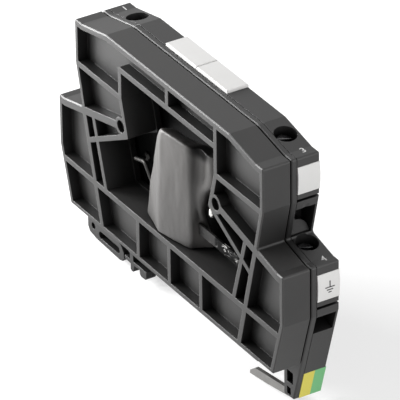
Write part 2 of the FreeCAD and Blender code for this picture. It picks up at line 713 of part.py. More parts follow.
def end_marker(level):
    """Label plate with a slightly crowned face."""
    x1 = face_x(level)
    x0 = x1 - MARKER_T
    z0 = marker_z(level) + MARKER_GAP
    z1 = z0 + MARKER_H
    y0, y1 = HOUSING_Y + MARKER_GAP, WIDTH
    plan = [(x1, z0), (x1 + MARKER_CROWN, (z0 + z1) / 2), (x1, z1), (x0, z1), (x0, z0)]
    points = [FreeCAD.Vector(x, y0, z) for x, z in plan]
    crown = Part.Arc(points[0], points[1], points[2]).toShape()
    edges = [crown, Part.makeLine(points[2], points[3]), Part.makeLine(points[3], points[4]),
             Part.makeLine(points[4], points[0])]
    return Part.Face(Part.Wire(edges)).extrude(FreeCAD.Vector(0, y1 - y0, 0))


def top_marker(index):
    x = TOP_MARKER_LEFT + index * (TOP_MARKER_L + MARKER_GAP)
    floor = TOP_Z + TOP_MARKER_PROUD - TOP_MARKER_T
    top = TOP_Z + TOP_MARKER_PROUD
    plate = block(x, x + TOP_MARKER_L - MARKER_GAP, HOUSING_Y + MARKER_GAP, WIDTH, floor, top)
    rim = [e for e in plate.Edges if all(abs(v.Z - top) < EPS for v in e.Vertexes)]
    return plate.makeChamfer(MARKER_CHAMFER, rim)


def earth_field(y0, y1):
    return prism(field_outline(FIELD_T), y0, y1)


def sleeve_section(z, pinch):
    """Sleeve outline in plan at a height, in its own frame: the left side flares downwards."""
    t = (SLEEVE_TOP_Z - z) / (SLEEVE_TOP_Z - SLEEVE_BOTTOM_Z)
    return [
        (-3.2 - 6.7 * t, 0.3 + 3.0 * t), (-2.1 - t, 0.0), (6.6 - 0.7 * t, 0.0),
        (8.0 - 0.4 * t - 0.3 * pinch, 1.3), (7.8 + 0.4 * t - pinch, SLEEVE_T),
        (-3.4 - 6.1 * t, SLEEVE_T + 0.6 * t),
    ]


def in_sleeve_frame(shape):
    """Turn a piece of the wrapped block from the sleeve's own frame to its place."""
    turned = shape.rotated(FreeCAD.Vector(0, 0, 0), Z_AXIS, SLEEVE_YAW)
    return turned.translated(FreeCAD.Vector(SLEEVE_X, SLEEVE_FRONT, 0))


def flat_ring(x, y, z, radius):
    return Part.Wire(Part.makeCircle(radius, FreeCAD.Vector(x, y, z), Z_AXIS))


def tube_bulge():
    """Film round the tube, and its tail that runs down into the block's pinched side."""
    radius = TUBE_R + SLEEVE_WALL + CORE_GAP
    z0, z1 = TUBE_Z - BULGE_OVERHANG, TUBE_Z + TUBE_LENGTH + BULGE_OVERHANG
    rings = [flat_ring(TAIL_X, TAIL_Y, z0 - TAIL_H, TAIL_R), flat_ring(TUBE_X, TUBE_Y, z0, radius)]
    return join([upright(TUBE_X, TUBE_Y, z0, z1, radius), Part.makeLoft(rings, True, True)])


def heat_shrink_sleeve():
    wires = []
    for z, pinch in ((SLEEVE_BOTTOM_Z, 0), (PINCH_Z, PINCH), (PINCH_END_Z, 0), (SLEEVE_TOP_Z, 0)):
        corners = [FreeCAD.Vector(x, y, z) for x, y in sleeve_section(z, pinch)]
        wires.append(Part.makePolygon(corners + corners[:1]))
    wrap = Part.makeLoft(wires, True, True)
    for z in (DISC_LOWER_Z, DISC_UPPER_Z):
        wrap = wrap.cut(peg(DISC_X, z, DISC_Y - CORE_GAP, DISC_Y + DISC_T + CORE_GAP, DISC_R + CORE_GAP))
    core_top = TUBE_Z + TUBE_LENGTH + CORE_GAP
    cores = [upright(TUBE_X, TUBE_Y, TUBE_Z - CORE_GAP, core_top, TUBE_R + CORE_GAP)]
    cores += [varistor_lead(LEAD_R + CORE_GAP), tube_lead(LEAD_R + CORE_GAP), link_strip(CORE_GAP)]
    films = [in_sleeve_frame(wrap), tube_bulge()]
    for core in cores:
        films = [film.cut(core) for film in films]
    return join(films)


def disc_edge(side):
    """Point just beside the lower disc's rim, half way through its thickness."""
    rim = FreeCAD.Vector(DISC_X + side * (DISC_R + LEAD_END_GAP), DISC_Y + DISC_T / 2, DISC_LOWER_Z)
    return in_sleeve_frame(Part.Vertex(rim)).Point


def varistor(z):
    disc = peg(DISC_X, z, DISC_Y, DISC_Y + DISC_T, DISC_R)
    disc = disc.makeFillet(DISC_EDGE_R, [e for e in disc.Edges if len(e.Vertexes) == 1])
    return in_sleeve_frame(disc)


def gas_discharge_tube():
    """Three-electrode arrester: metal caps and a middle ring round a ceramic barrel."""
    parts = [upright(TUBE_X, TUBE_Y, TUBE_Z, TUBE_Z + TUBE_LENGTH, TUBE_R - TUBE_STEP)]
    ring = (TUBE_LENGTH - TUBE_RING) / 2
    for z0, height in ((0.0, TUBE_CAP), (ring, TUBE_RING), (TUBE_LENGTH - TUBE_CAP, TUBE_CAP)):
        parts.append(upright(TUBE_X, TUBE_Y, TUBE_Z + z0, TUBE_Z + z0 + height, TUBE_R))
    return join(parts)


def wire(points, radius, bend):
    """Round wire along straight runs joined by tangent arcs."""
    edges = []
    start = points[0]
    for before, corner, after in zip(points, points[1:], points[2:]):
        back = (before - corner).normalize()
        ahead = (after - corner).normalize()
        half = math.acos(max(-1.0, min(1.0, back.dot(ahead)))) / 2
        reach = bend / math.tan(half)
        a = corner + back * reach
        b = corner + ahead * reach
        middle_way = (back + ahead).normalize()
        mid = corner + middle_way * (bend / math.sin(half) - bend)
        edges.append(Part.makeLine(start, a))
        edges.append(Part.Arc(a, mid, b).toShape())
        start = b
    edges.append(Part.makeLine(start, points[-1]))
    path = Part.Wire(edges)
    circle = Part.Wire(Part.makeCircle(radius, points[0], points[1] - points[0]))
    return path.makePipeShell([circle], True, True)


def points3(*rows):
    return [FreeCAD.Vector(*row) for row in rows]


def varistor_lead(radius):
    """Lead from the lower disc's rim out of the sleeve to the board's left edge."""
    route = points3((-21.0, BOARD_Y, 15.8), (-21.0, 6.2, 15.8), (-18.4, 4.0, 18.0), (-13.4, 3.0, 20.0),
                    (-11.2, 3.2, 16.8)) + [disc_edge(-1)]
    return wire(route, radius, LEAD_BEND)


def tube_lead(radius):
    """Lead from the tube's lower cap out of the sleeve to the board."""
    route = points3((13.4, BOARD_Y, 21.2), (13.4, 6.0, 21.2), (11.4, 2.9, 21.2),
                    (TUBE_X, TUBE_Y, TUBE_Z - 2.7), (TUBE_X, TUBE_Y, TUBE_Z))
    return wire(route, radius, LEAD_BEND)


def link_strip(grow):
    """Tinned strip from the lower disc's rim to the board."""
    x0 = disc_edge(1).x
    z0, z1 = LINK_Z - grow, LINK_Z + LINK_W + grow
    run = block(x0 - grow, LINK_X1, LINK_Y - grow, LINK_Y + LINK_T + grow, z0, z1)
    turn = block(LINK_X1 - LINK_T, LINK_X1, LINK_Y, BOARD_Y, z0, z1)
    return join([run, turn])


def chip(side, place, size):
    """Surface-mounted part on the back of the board."""
    x, z = side * place[0], place[1]
    length, height, thickness = size
    y1 = BOARD_BACK_Y + thickness
    body = block(x - length / 2, x + length / 2, BOARD_BACK_Y, y1, z - height / 2, z + height / 2)
    rim = [e for e in body.Edges if all(abs(v.Y - y1) < EPS for v in e.Vertexes)]
    return body.makeChamfer(CHIP_CHAMFER, rim)


def to_rail_frame(shape):
    return shape.translated(FreeCAD.Vector(-RAIL_X, -WIDTH / 2, SEAT_DROP))


def save(name, shape):
    if len(shape.Solids) != 1:
        raise ValueError(name + " is not one solid")
    to_rail_frame(shape.Solids[0]).exportStep("parts/" + name + ".step")


def main():
    os.makedirs("parts", exist_ok=True)
    save("ribbed_frame", ribbed_frame())
    save("side_cover", side_cover())
    save("terminal_housing", terminal_housing())
    save("circuit_board", circuit_board())
    save("heat_shrink_sleeve", heat_shrink_sleeve())
    save("varistor_lower", varistor(DISC_LOWER_Z))
    save("varistor_upper", varistor(DISC_UPPER_Z))
    save("gas_discharge_tube", gas_discharge_tube())
    save("varistor_lead", varistor_lead(LEAD_R))
    save("gas_tube_lead", tube_lead(LEAD_R))
    save("link_strip", link_strip(0.0))
    save("earth_contact", earth_contact())
    for side, word in ((-1, "left"), (1, "right")):
        save("suppressor_diode_" + word, chip(side, DIODE_AT, DIODE_SIZE))
        save("decoupling_resistor_" + word, chip(side, RESISTOR_AT, RESISTOR_SIZE))
    middle = (HOUSING_Y + WIDTH) / 2
    save("earth_field_yellow", earth_field(HOUSING_Y, middle))
    save("earth_field_green", earth_field(middle, WIDTH))
    for index in range(2):
        save("top_marker_%d" % (index + 1), top_marker(index))
    places = (("upper", -1), ("lower", -1), ("upper", 1), ("lower", 1))
    for number, (level, side) in enumerate(places, 1):
        marker = end_marker(level)
        save("end_marker_%d" % number, marker if side > 0 else mirrored(marker))
        save("clamp_screw_%d" % number, tilted(clamp_screw(), level, side))
        save("clamp_yoke_%d" % number, tilted(clamp_yoke(), level, side))
        save("current_bar_%d" % number, tilted(current_bar(), level, side))


main()
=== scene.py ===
# %% [markdown]
# # A slim surge arrester for a mounting rail
# The real thing is a black moulded module, about 81 mm long and 12.4 mm wide. One half is an open
# ribbed frame with a shrink-wrapped block in its middle. The other half is closed and holds four
# screw clamps, white label plates and an earth contact.
# The solid parts come from the CAD model, so the lesson starts by loading them. Everything made
# below is in metres and in the same frame: the origin is the middle of the rail seat.

# %% Load the CAD parts
import bpy
import bmesh
import json
import math
from mathutils import Matrix, Vector, noise


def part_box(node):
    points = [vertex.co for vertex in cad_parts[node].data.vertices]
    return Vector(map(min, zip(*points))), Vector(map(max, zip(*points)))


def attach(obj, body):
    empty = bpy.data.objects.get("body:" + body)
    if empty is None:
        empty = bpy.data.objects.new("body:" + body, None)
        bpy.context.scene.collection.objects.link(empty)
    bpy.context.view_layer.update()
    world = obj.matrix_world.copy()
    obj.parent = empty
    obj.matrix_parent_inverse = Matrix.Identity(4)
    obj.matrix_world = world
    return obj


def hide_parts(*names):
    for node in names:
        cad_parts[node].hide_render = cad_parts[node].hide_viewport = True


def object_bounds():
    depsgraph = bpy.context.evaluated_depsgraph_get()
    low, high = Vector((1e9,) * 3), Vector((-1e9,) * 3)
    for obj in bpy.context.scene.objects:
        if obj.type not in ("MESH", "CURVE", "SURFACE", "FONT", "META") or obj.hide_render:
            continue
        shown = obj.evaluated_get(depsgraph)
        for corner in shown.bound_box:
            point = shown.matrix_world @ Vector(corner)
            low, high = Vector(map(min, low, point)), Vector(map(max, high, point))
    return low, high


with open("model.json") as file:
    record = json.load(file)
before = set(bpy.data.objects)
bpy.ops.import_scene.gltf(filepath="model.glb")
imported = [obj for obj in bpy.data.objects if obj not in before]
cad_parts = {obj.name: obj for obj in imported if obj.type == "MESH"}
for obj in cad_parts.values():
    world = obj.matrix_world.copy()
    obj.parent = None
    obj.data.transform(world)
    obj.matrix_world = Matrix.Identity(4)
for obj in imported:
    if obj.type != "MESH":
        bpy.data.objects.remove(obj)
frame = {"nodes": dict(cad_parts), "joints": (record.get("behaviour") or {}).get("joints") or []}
parts = frame["nodes"]
MM = 0.001
cad_low, cad_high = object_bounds()
print("parts:", len(parts), "size in mm:", [round(v / MM, 2) for v in cad_high - cad_low])

# %% [markdown]
# ## The camera
# A product photograph of a small part is taken from far away with a long lens, so that parallel
# edges stay nearly parallel. Here the camera stands 1.1 m away, at the angle of the photograph.
# Its right, up and backward directions make up the rows of a rotation matrix.

# %% Place the camera
CAMERA_AT = Vector((805.94, -490.51, 591.15)) * MM
CAMERA_RIGHT = Vector((0.52483, 0.85114, -0.01069))
CAMERA_UP = Vector((-0.43246, 0.27744, 0.85791))
CAMERA_BACK = Vector((0.73317, -0.44563, 0.51369))
SENSOR_WIDTH, FOCAL_LENGTH = 36.0, 523.08


def new_object(name, data):
    """Put an object that shows the given data into the scene."""
    made = bpy.data.objects.new(name, data)
    bpy.context.scene.collection.objects.link(made)
    return made


camera_data = bpy.data.cameras.new("product_camera")
camera_data.sensor_width, camera_data.lens = SENSOR_WIDTH, FOCAL_LENGTH
camera = new_object("product_camera", camera_data)
turn = Matrix((CAMERA_RIGHT, CAMERA_UP, CAMERA_BACK)).transposed()
camera.matrix_world = Matrix.Translation(CAMERA_AT) @ turn.to_4x4()
bpy.context.scene.camera = camera
bpy.context.scene.view_settings.view_transform = "Standard"
print("camera distance in mm:", round(CAMERA_AT.length / MM))

# %% [markdown]
# ## Helpers for building shaders
# A material in Blender is a small network of nodes. Short helpers keep the cells readable. They
# add a node with its settings, mix colours, connect nodes, start a material that holds a Principled
# shader, and start or use a node group, which is an effect that several materials share.

# %% Helpers for nodes
NUMBER, DIRECTION = "NodeSocketFloat", "NodeSocketVector"


def add_node(tree, kind, label="", **values):
    """Add a node and set its inputs and properties, with an underscore for each space."""
    node = tree.nodes.new(kind)
    node.label = label
    for name, value in values.items():
        socket = name.replace("_", " ")
        if socket in node.inputs:
            node.inputs[socket].default_value = value
        else:
            setattr(node, name, value)
    return node


def mix_colours(tree, label, **values):
    """Add a node that mixes the colours A and B, each given as red, green and blue."""
    values = {k: (*v, 1.0) if k in ("A", "B") else v for k, v in values.items()}
    return add_node(tree, "ShaderNodeMix", label, data_type="RGBA", **values)


def connect(tree, *links):
    """Connect nodes; each link is (node, its output, next node, its input)."""
    for node, output, next_node, socket in links:
        tree.links.new(node.outputs[output], next_node.inputs[socket])


def new_material(name, **shader_values):
    """A material with one Principled shader whose even values sit on its own sockets."""
    material = bpy.data.materials.new(name)
    material.use_nodes = True
    tree = material.node_tree
    shader = tree.nodes["Principled BSDF"]
    for key, value in shader_values.items():
        shader.inputs[key.replace("_", " ")].default_value = value
    return material, tree, shader


def new_group(name, inputs, outputs):
    """A node group with number inputs and their defaults, and outputs and their kinds."""
    group = bpy.data.node_groups.new(name, "ShaderNodeTree")
    for socket, value in inputs.items():
        made = group.interface.new_socket(socket, in_out="INPUT", socket_type=NUMBER)
        made.default_value = value
    for socket, kind in outputs.items():
        group.interface.new_socket(socket, in_out="OUTPUT", socket_type=kind)
    return group, group.nodes.new("NodeGroupInput"), group.nodes.new("NodeGroupOutput")


def use_group(tree, group, **values):
    """Place a group in a material with the material's own values."""
    return add_node(tree, "ShaderNodeGroup", node_tree=group, **values)


print("shader helpers are ready")

# %% [markdown]
# ## Fine moulded grain
# A black housing is moulded in a spark-eroded tool, which leaves a fine matt grain. Noise at two
# scales gives it: one fine enough to break up the shine, one broad enough to cloud it, as flow and
# handling do. Both masks are plain values, so each material decides what they change.

# %% Node group: moulded grain
grain_group, grain_in, grain_out = new_group(
    "moulded_grain",
    {"Fine Scale": 4000.0, "Cloud Scale": 90.0},
    {"Grain": NUMBER, "Cloud": NUMBER},
)
place = add_node(grain_group, "ShaderNodeTexCoord")
fine = add_node(grain_group, "ShaderNodeTexNoise", "fine grain", Detail=3.0, Roughness=0.55)
cloud = add_node(grain_group, "ShaderNodeTexNoise", "broad cloud", Detail=2.0, Roughness=0.5)
for texture, scale, output in ((fine, "Fine Scale", "Grain"), (cloud, "Cloud Scale", "Cloud")):
    connect(
        grain_group,
        (place, "Object", texture, "Vector"),
        (grain_in, scale, texture, "Scale"),
        (texture, "Fac", grain_out, output),
    )
print("grain group outputs:", [s.name for s in grain_out.inputs if s.name])

# %% [markdown]
# ## Rubbed and highlit edges
# Moulded edges are never quite sharp, and fingers polish them. The materials paint them paler,
# partly as that wear and partly as a painted highlight for the light a rounded edge would catch.
# The Bevel node says which way the surface would face if its edges were rounded. Where that differs
# from the true normal, there is an edge, and the group puts out a mask for it.

# %% Node group: rubbed edges
highlit_and_worn_edge_group, edge_in, edge_out = new_group(
    "rubbed_and_highlit_edges",
    {"Radius": 0.00025, "Gain": 3.0},
    {"Mask": NUMBER, "Round Normal": DIRECTION},
)
bevel = add_node(highlit_and_worn_edge_group, "ShaderNodeBevel", samples=4)
flat = add_node(highlit_and_worn_edge_group, "ShaderNodeNewGeometry")
likeness = add_node(highlit_and_worn_edge_group, "ShaderNodeVectorMath", operation="DOT_PRODUCT")
departure = add_node(highlit_and_worn_edge_group, "ShaderNodeMath", operation="SUBTRACT")
departure.inputs[0].default_value = 1.0
gain = add_node(highlit_and_worn_edge_group, "ShaderNodeMath", operation="MULTIPLY", use_clamp=True)
hollow = add_node(
    highlit_and_worn_edge_group, "ShaderNodeAmbientOcclusion", "open or hollow", samples=4, Distance=0.0006,
)
outward = add_node(
    highlit_and_worn_edge_group, "ShaderNodeMapRange", "outer edges only", From_Min=0.75, From_Max=0.95,
)
open_edge = add_node(highlit_and_worn_edge_group, "ShaderNodeMath", operation="MULTIPLY")
connect(
    highlit_and_worn_edge_group,
    (edge_in, "Radius", bevel, "Radius"),
    (bevel, "Normal", likeness, 0),
    (flat, "Normal", likeness, 1),
    (likeness, "Value", departure, 1),
    (departure, "Value", gain, 0),
    (edge_in, "Gain", gain, 1),
    (hollow, "AO", outward, "Value"),
    (gain, "Value", open_edge, 0),
    (outward, "Result", open_edge, 1),
    (open_edge, "Value", edge_out, "Mask"),
    (bevel, "Normal", edge_out, "Round Normal"),
)
print("edge group outputs:", [s.name for s in edge_out.inputs if s.name])

# %% [markdown]
# ## Painted shade in sheltered places
# Pockets and corners get painted shade: their colour and their shine are darkened where they are
# sheltered, on top of the shading that the renderer traces. The Ambient Occlusion node measures how
# open a place is, and the group turns that into a factor that a material can use for its colour and
# its shine.

# %% Node group: openness
painted_shade_group, painted_shade_in, painted_shade_out = new_group(
    "painted_shade_by_openness",
    {"Distance": 0.009, "Lowest": 0.2},
    {"Open": NUMBER},
)
shelter = add_node(painted_shade_group, "ShaderNodeAmbientOcclusion", "how open", samples=8)
spread = add_node(painted_shade_group, "ShaderNodeMapRange", "painted shade depth", From_Min=0.15, From_Max=0.95)
connect(
    painted_shade_group,
    (painted_shade_in, "Distance", shelter, "Distance"),
    (shelter, "AO", spread, "Value"),
    (painted_shade_in, "Lowest", spread, "To Min"),
    (spread, "Result", painted_shade_out, "Open"),
)
print("openness group outputs:", [s.name for s in painted_shade_out.inputs if s.name])

# %% [markdown]
# ## Black moulded plastic
# Frame, cover and housing are glass-filled polyamide: near black, satin, with edges painted paler,
# partly as rubbed wear and partly as a painted highlight.
# One function makes them all, and each call has its own colours, roughness, grain depth and edges,
# because the open frame is a little glossier than the fine-textured housing.

# %% Material: black moulded plastic
GRAIN_HEIGHT = 0.00002
CLOUDINESS = 0.05
FULL_SHINE = 0.5


def darker_in_shelter(tree, shader, lowest):
    """Paint shade: scale a shader's colour and shine down where it is sheltered; return both nodes.
    """
    painted_shade_by_openness = use_group(tree, painted_shade_group, Lowest=lowest)
    shade = mix_colours(tree, "painted shade on the colour", blend_type="MULTIPLY", Factor=1.0)
    shine = add_node(tree, "ShaderNodeMath", "painted shade on the shine", operation="MULTIPLY")
    shine.inputs[1].default_value = FULL_SHINE
    connect(
        tree,
        (painted_shade_by_openness, "Open", shade, "B"),
        (painted_shade_by_openness, "Open", shine, 0),
        (shine, "Value", shader, "Specular IOR Level"),
        (shade, "Result", shader, "Base Color"),
    )
    return shade, shine


def moulded_plastic(name, dark, pale, roughness, grain_depth, edge_gain, edge_highlight_and_wear):
    """Clouded near-black plastic, edges painted brighter as wear and highlight, fine grain."""
    material, tree, shader = new_material(name, IOR=1.5)
    grain = use_group(tree, grain_group, Fine_Scale=5200.0, Cloud_Scale=120.0)
    edge = use_group(tree, highlit_and_worn_edge_group, Radius=0.00018, Gain=edge_gain)
    scuff = add_node(tree, "ShaderNodeMath", "scuffed in places", operation="MULTIPLY")
    tint = mix_colours(tree, "clouded colour", A=dark, B=pale)
    # Edges are painted paler: partly rubbed wear, partly a painted highlight.
    worn_and_highlit = mix_colours(tree, "paler edges, wear and painted highlight", B=[edge_highlight_and_wear * c for c in pale])
    rough = add_node(
        tree, "ShaderNodeMapRange", "roughness from cloud",
        To_Min=roughness - CLOUDINESS, To_Max=roughness + CLOUDINESS,
    )
    bump = add_node(tree, "ShaderNodeBump", "grain", Strength=grain_depth, Distance=GRAIN_HEIGHT)
    # Painted shade: colour and shine are darkened in pockets and corners.
    shade, _ = darker_in_shelter(tree, shader, lowest=0.2)
    connect(
        tree,
        (grain, "Cloud", tint, "Factor"),
        (tint, "Result", worn_and_highlit, "A"),
        (edge, "Mask", scuff, 0),
        (grain, "Grain", scuff, 1),
        (scuff, "Value", worn_and_highlit, "Factor"),
        (worn_and_highlit, "Result", shade, "A"),
        (grain, "Cloud", rough, "Value"),
        (rough, "Result", shader, "Roughness"),
        (grain, "Grain", bump, "Height"),
        (edge, "Round Normal", bump, "Normal"),
        (bump, "Normal", shader, "Normal"),
    )
    return material


frame_plastic = moulded_plastic(
    "frame_plastic", dark=(0.015, 0.015, 0.015), pale=(0.027, 0.026, 0.0255), roughness=0.46,
    grain_depth=0.4, edge_gain=3.0, edge_highlight_and_wear=11.0,
)
cover_plastic = moulded_plastic(
    "cover_plastic", dark=(0.015, 0.015, 0.015), pale=(0.026, 0.025, 0.025), roughness=0.44,
    grain_depth=0.5, edge_gain=2.0, edge_highlight_and_wear=2.0,
)
housing_plastic = moulded_plastic(
    "housing_plastic", dark=(0.017, 0.017, 0.017), pale=(0.029, 0.028, 0.028), roughness=0.5,
    grain_depth=0.7, edge_gain=2.0, edge_highlight_and_wear=4.0,
)
print("black plastics:", [m.name for m in (frame_plastic, cover_plastic, housing_plastic)])

# %% [markdown]
# ## Label plates and earth colours
# The label plates are pale satin polycarbonate, cut from a strip of blanks. They get a faint cloud
# and a very fine surface. The two earth colours on the post are printed, with a slightly uneven
# coat that lets the roughness vary.

# %% Material: label and colour fields
SKIN_HEIGHT = 0.00001
SHINIER, DULLER = 0.05, 0.08


def plain_moulding(name, colour, shift, roughness, grain_depth):
    """A coloured satin plastic whose colour drifts a little from place to place."""
    material, tree, shader = new_material(name, IOR=1.5)
    grain = use_group(tree, grain_group, Fine_Scale=3500.0, Cloud_Scale=260.0)
    tint = mix_colours(tree, "drifting colour", A=colour, B=[c * shift for c in colour])
    rough = add_node(
        tree, "ShaderNodeMapRange", "uneven shine",
        To_Min=roughness - SHINIER, To_Max=roughness + DULLER,
    )
    bump = add_node(
        tree, "ShaderNodeBump", "fine surface", Strength=grain_depth, Distance=SKIN_HEIGHT,
    )
    connect(
        tree,
        (grain, "Cloud", tint, "Factor"),
        (tint, "Result", shader, "Base Color"),
        (grain, "Grain", rough, "Value"),
        (rough, "Result", shader, "Roughness"),
        (grain, "Grain", bump, "Height"),
        (bump, "Normal", shader, "Normal"),
    )
    return material


label_white = plain_moulding("label_white", (0.745, 0.74, 0.73), 0.95, 0.45, 0.3)
earth_yellow = plain_moulding("earth_yellow", (0.7, 0.62, 0.09), 0.93, 0.38, 0.3)
earth_green = plain_moulding("earth_green", (0.16, 0.49, 0.2), 0.92, 0.38, 0.3)
white_ink = plain_moulding("white_ink", (0.75, 0.75, 0.74), 0.85, 0.6, 0.4)
dark_ink = plain_moulding("dark_ink", (0.02, 0.02, 0.022), 1.4, 0.55, 0.4)
print("pale and coloured finishes are ready")

# %% [markdown]
# ## Metals
# Tinned copper is soft and pale with cloudy streaks, zinc-plated steel is bluer and brighter, and
# solder is lumpy and shiny. Each is fully metallic. Cloudy tarnish moves the colour. Stretched
# noise gives the drawing lines of sheet and wire, and the lines also move the roughness.

# %% Material: metals
LINE_HEIGHT = 0.00002


def plated_metal(name, bright, dull, smooth, rough, line_scale, bump_depth):
    """A metal between two colours and two roughnesses, with drawing lines at a scale per axis."""
    material, tree, shader = new_material(name, Metallic=1.0)
    place = add_node(tree, "ShaderNodeTexCoord")
    stretch = add_node(tree, "ShaderNodeMapping", "along the sheet", Scale=line_scale)
    lines = add_node(tree, "ShaderNodeTexNoise", "drawing lines", Scale=1.0, Detail=4.0)
    cloud = use_group(tree, grain_group, Fine_Scale=2600.0, Cloud_Scale=420.0)
    tint = mix_colours(tree, "tarnish", A=bright, B=dull)
    shine = add_node(tree, "ShaderNodeMapRange", "roughness", To_Min=smooth, To_Max=rough)
    bump = add_node(tree, "ShaderNodeBump", "lines", Strength=bump_depth, Distance=LINE_HEIGHT)
    connect(
        tree,
        (place, "Object", stretch, "Vector"),
        (stretch, "Vector", lines, "Vector"),
        (cloud, "Cloud", tint, "Factor"),
        (tint, "Result", shader, "Base Color"),
        (lines, "Fac", shine, "Value"),
        (shine, "Result", shader, "Roughness"),
        (lines, "Fac", bump, "Height"),
        (bump, "Normal", shader, "Normal"),
    )
    return material


tinned = plated_metal(
    "tinned_copper", (0.74, 0.72, 0.69), (0.5, 0.48, 0.46), 0.22, 0.42, (900, 5000, 5000), 0.3,
)
# Leads and the board's solder drops sit in the cavity's shade: their tin is painted almost black as
# painted shade.
shaded_lead_tin = plated_metal(
    "lead_painted_dark", (0.06, 0.059, 0.057), (0.03, 0.029, 0.028), 0.42, 0.6, (900, 900, 900), 0.3,
)
contact_tin = plated_metal(
    "tinned_contact", (0.3, 0.295, 0.285), (0.2, 0.196, 0.19), 0.34, 0.5, (700, 4000, 4000), 0.4,
)
zinc = plated_metal(
    "zinc_steel", (0.2, 0.2, 0.205), (0.11, 0.11, 0.114), 0.14, 0.28, (3500, 3500, 3500), 0.35,
)
solder = plated_metal(
    "solder", (0.86, 0.85, 0.83), (0.6, 0.59, 0.57), 0.12, 0.3, (1500, 1500, 1500), 0.5,
)
print("metals:", [m.name for m in (tinned, shaded_lead_tin, contact_tin, zinc, solder)])

# %% [markdown]
# ## Board, discs, tube and strip
# The board is lacquered black, and its colour and shine are pushed close to zero as painted shade
# for the deep cavity; its glass cloth shows as a faint weave. Varistor discs are dipped in blue
# epoxy, and the gas tube has a pale ceramic barrel between metal caps. Discs and tube sit inside
# the sleeve, but anybody who takes the model apart will see them. The strip is wrapped at its left
# end.
# At its right end thin bright lines of solder stand in as painted glints, over a near-black base
# that is partly flux and partly a painted dark reflection of the cavity.

# %% Material: board, coatings and ceramic
def lacquered_board():
    """Black solder mask, darkened further as painted shade, over glass cloth whose threads show as
    a faint weave.
    """
    material, tree, shader = new_material("board_lacquer_painted_dark", IOR=1.52, Specular_IOR_Level=0.08)
    place = add_node(tree, "ShaderNodeTexCoord")
    weave = add_node(tree, "ShaderNodeMath", "weave", operation="MULTIPLY")
    for index, axis in enumerate("XZ"):
        thread = add_node(
            tree, "ShaderNodeTexWave", axis, bands_direction=axis, Scale=260.0, Distortion=1.5,
        )
        connect(tree, (place, "Object", thread, "Vector"), (thread, "Fac", weave, index))
    # Painted shade: colour and shine sit near zero, darker than black lacquer, for the deep cavity.
    tint = mix_colours(tree, "threads", A=(0.0018, 0.0018, 0.0019), B=(0.003, 0.003, 0.003))
    grain = use_group(tree, grain_group, Fine_Scale=4200.0, Cloud_Scale=200.0)
    rough = add_node(tree, "ShaderNodeMapRange", "lacquer shine", To_Min=0.42, To_Max=0.6)
    bump = add_node(tree, "ShaderNodeBump", "cloth", Strength=0.3, Distance=0.00003)
    connect(
        tree,
        (weave, "Value", tint, "Factor"),
        (tint, "Result", shader, "Base Color"),
        (grain, "Cloud", rough, "Value"),
        (rough, "Result", shader, "Roughness"),
        (weave, "Value", bump, "Height"),
        (bump, "Normal", shader, "Normal"),
    )
    return material


def banded_tube(low, high, cap):
    """Ceramic barrel between metal caps and a middle ring, by height."""
    material, tree, shader = new_material("banded_tube", IOR=1.5)
    place = add_node(tree, "ShaderNodeTexCoord")
    split = add_node(tree, "ShaderNodeSeparateXYZ")
    height = add_node(tree, "ShaderNodeMapRange", "height", From_Min=low, From_Max=high)
    bands = add_node(tree, "ShaderNodeValToRGB", "bands")
    ramp, share = bands.color_ramp, cap / (high - low)
    metal, ceramic = (1.0, 1.0, 1.0, 1.0), (0.0, 0.0, 0.0, 1.0)
    ramp.interpolation = "CONSTANT"
    ramp.elements[0].color = metal
    ramp.elements.remove(ramp.elements[1])
    for start, kind in ((share, ceramic), (0.45, metal), (0.55, ceramic), (1.0 - share, metal)):
        ramp.elements.new(start).color = kind
    tint = mix_colours(tree, "ceramic or metal", A=(0.76, 0.74, 0.68), B=(0.7, 0.68, 0.64))
    rough = add_node(tree, "ShaderNodeMapRange", "roughness", To_Min=0.55, To_Max=0.3)
    connect(
        tree,
        (place, "Object", split, "Vector"),
        (split, "Z", height, "Value"),
        (height, "Result", bands, "Fac"),
        (bands, "Color", tint, "Factor"),
        (tint, "Result", shader, "Base Color"),
        (bands, "Color", shader, "Metallic"),
        (bands, "Color", rough, "Value"),
        (rough, "Result", shader, "Roughness"),
    )
    return material


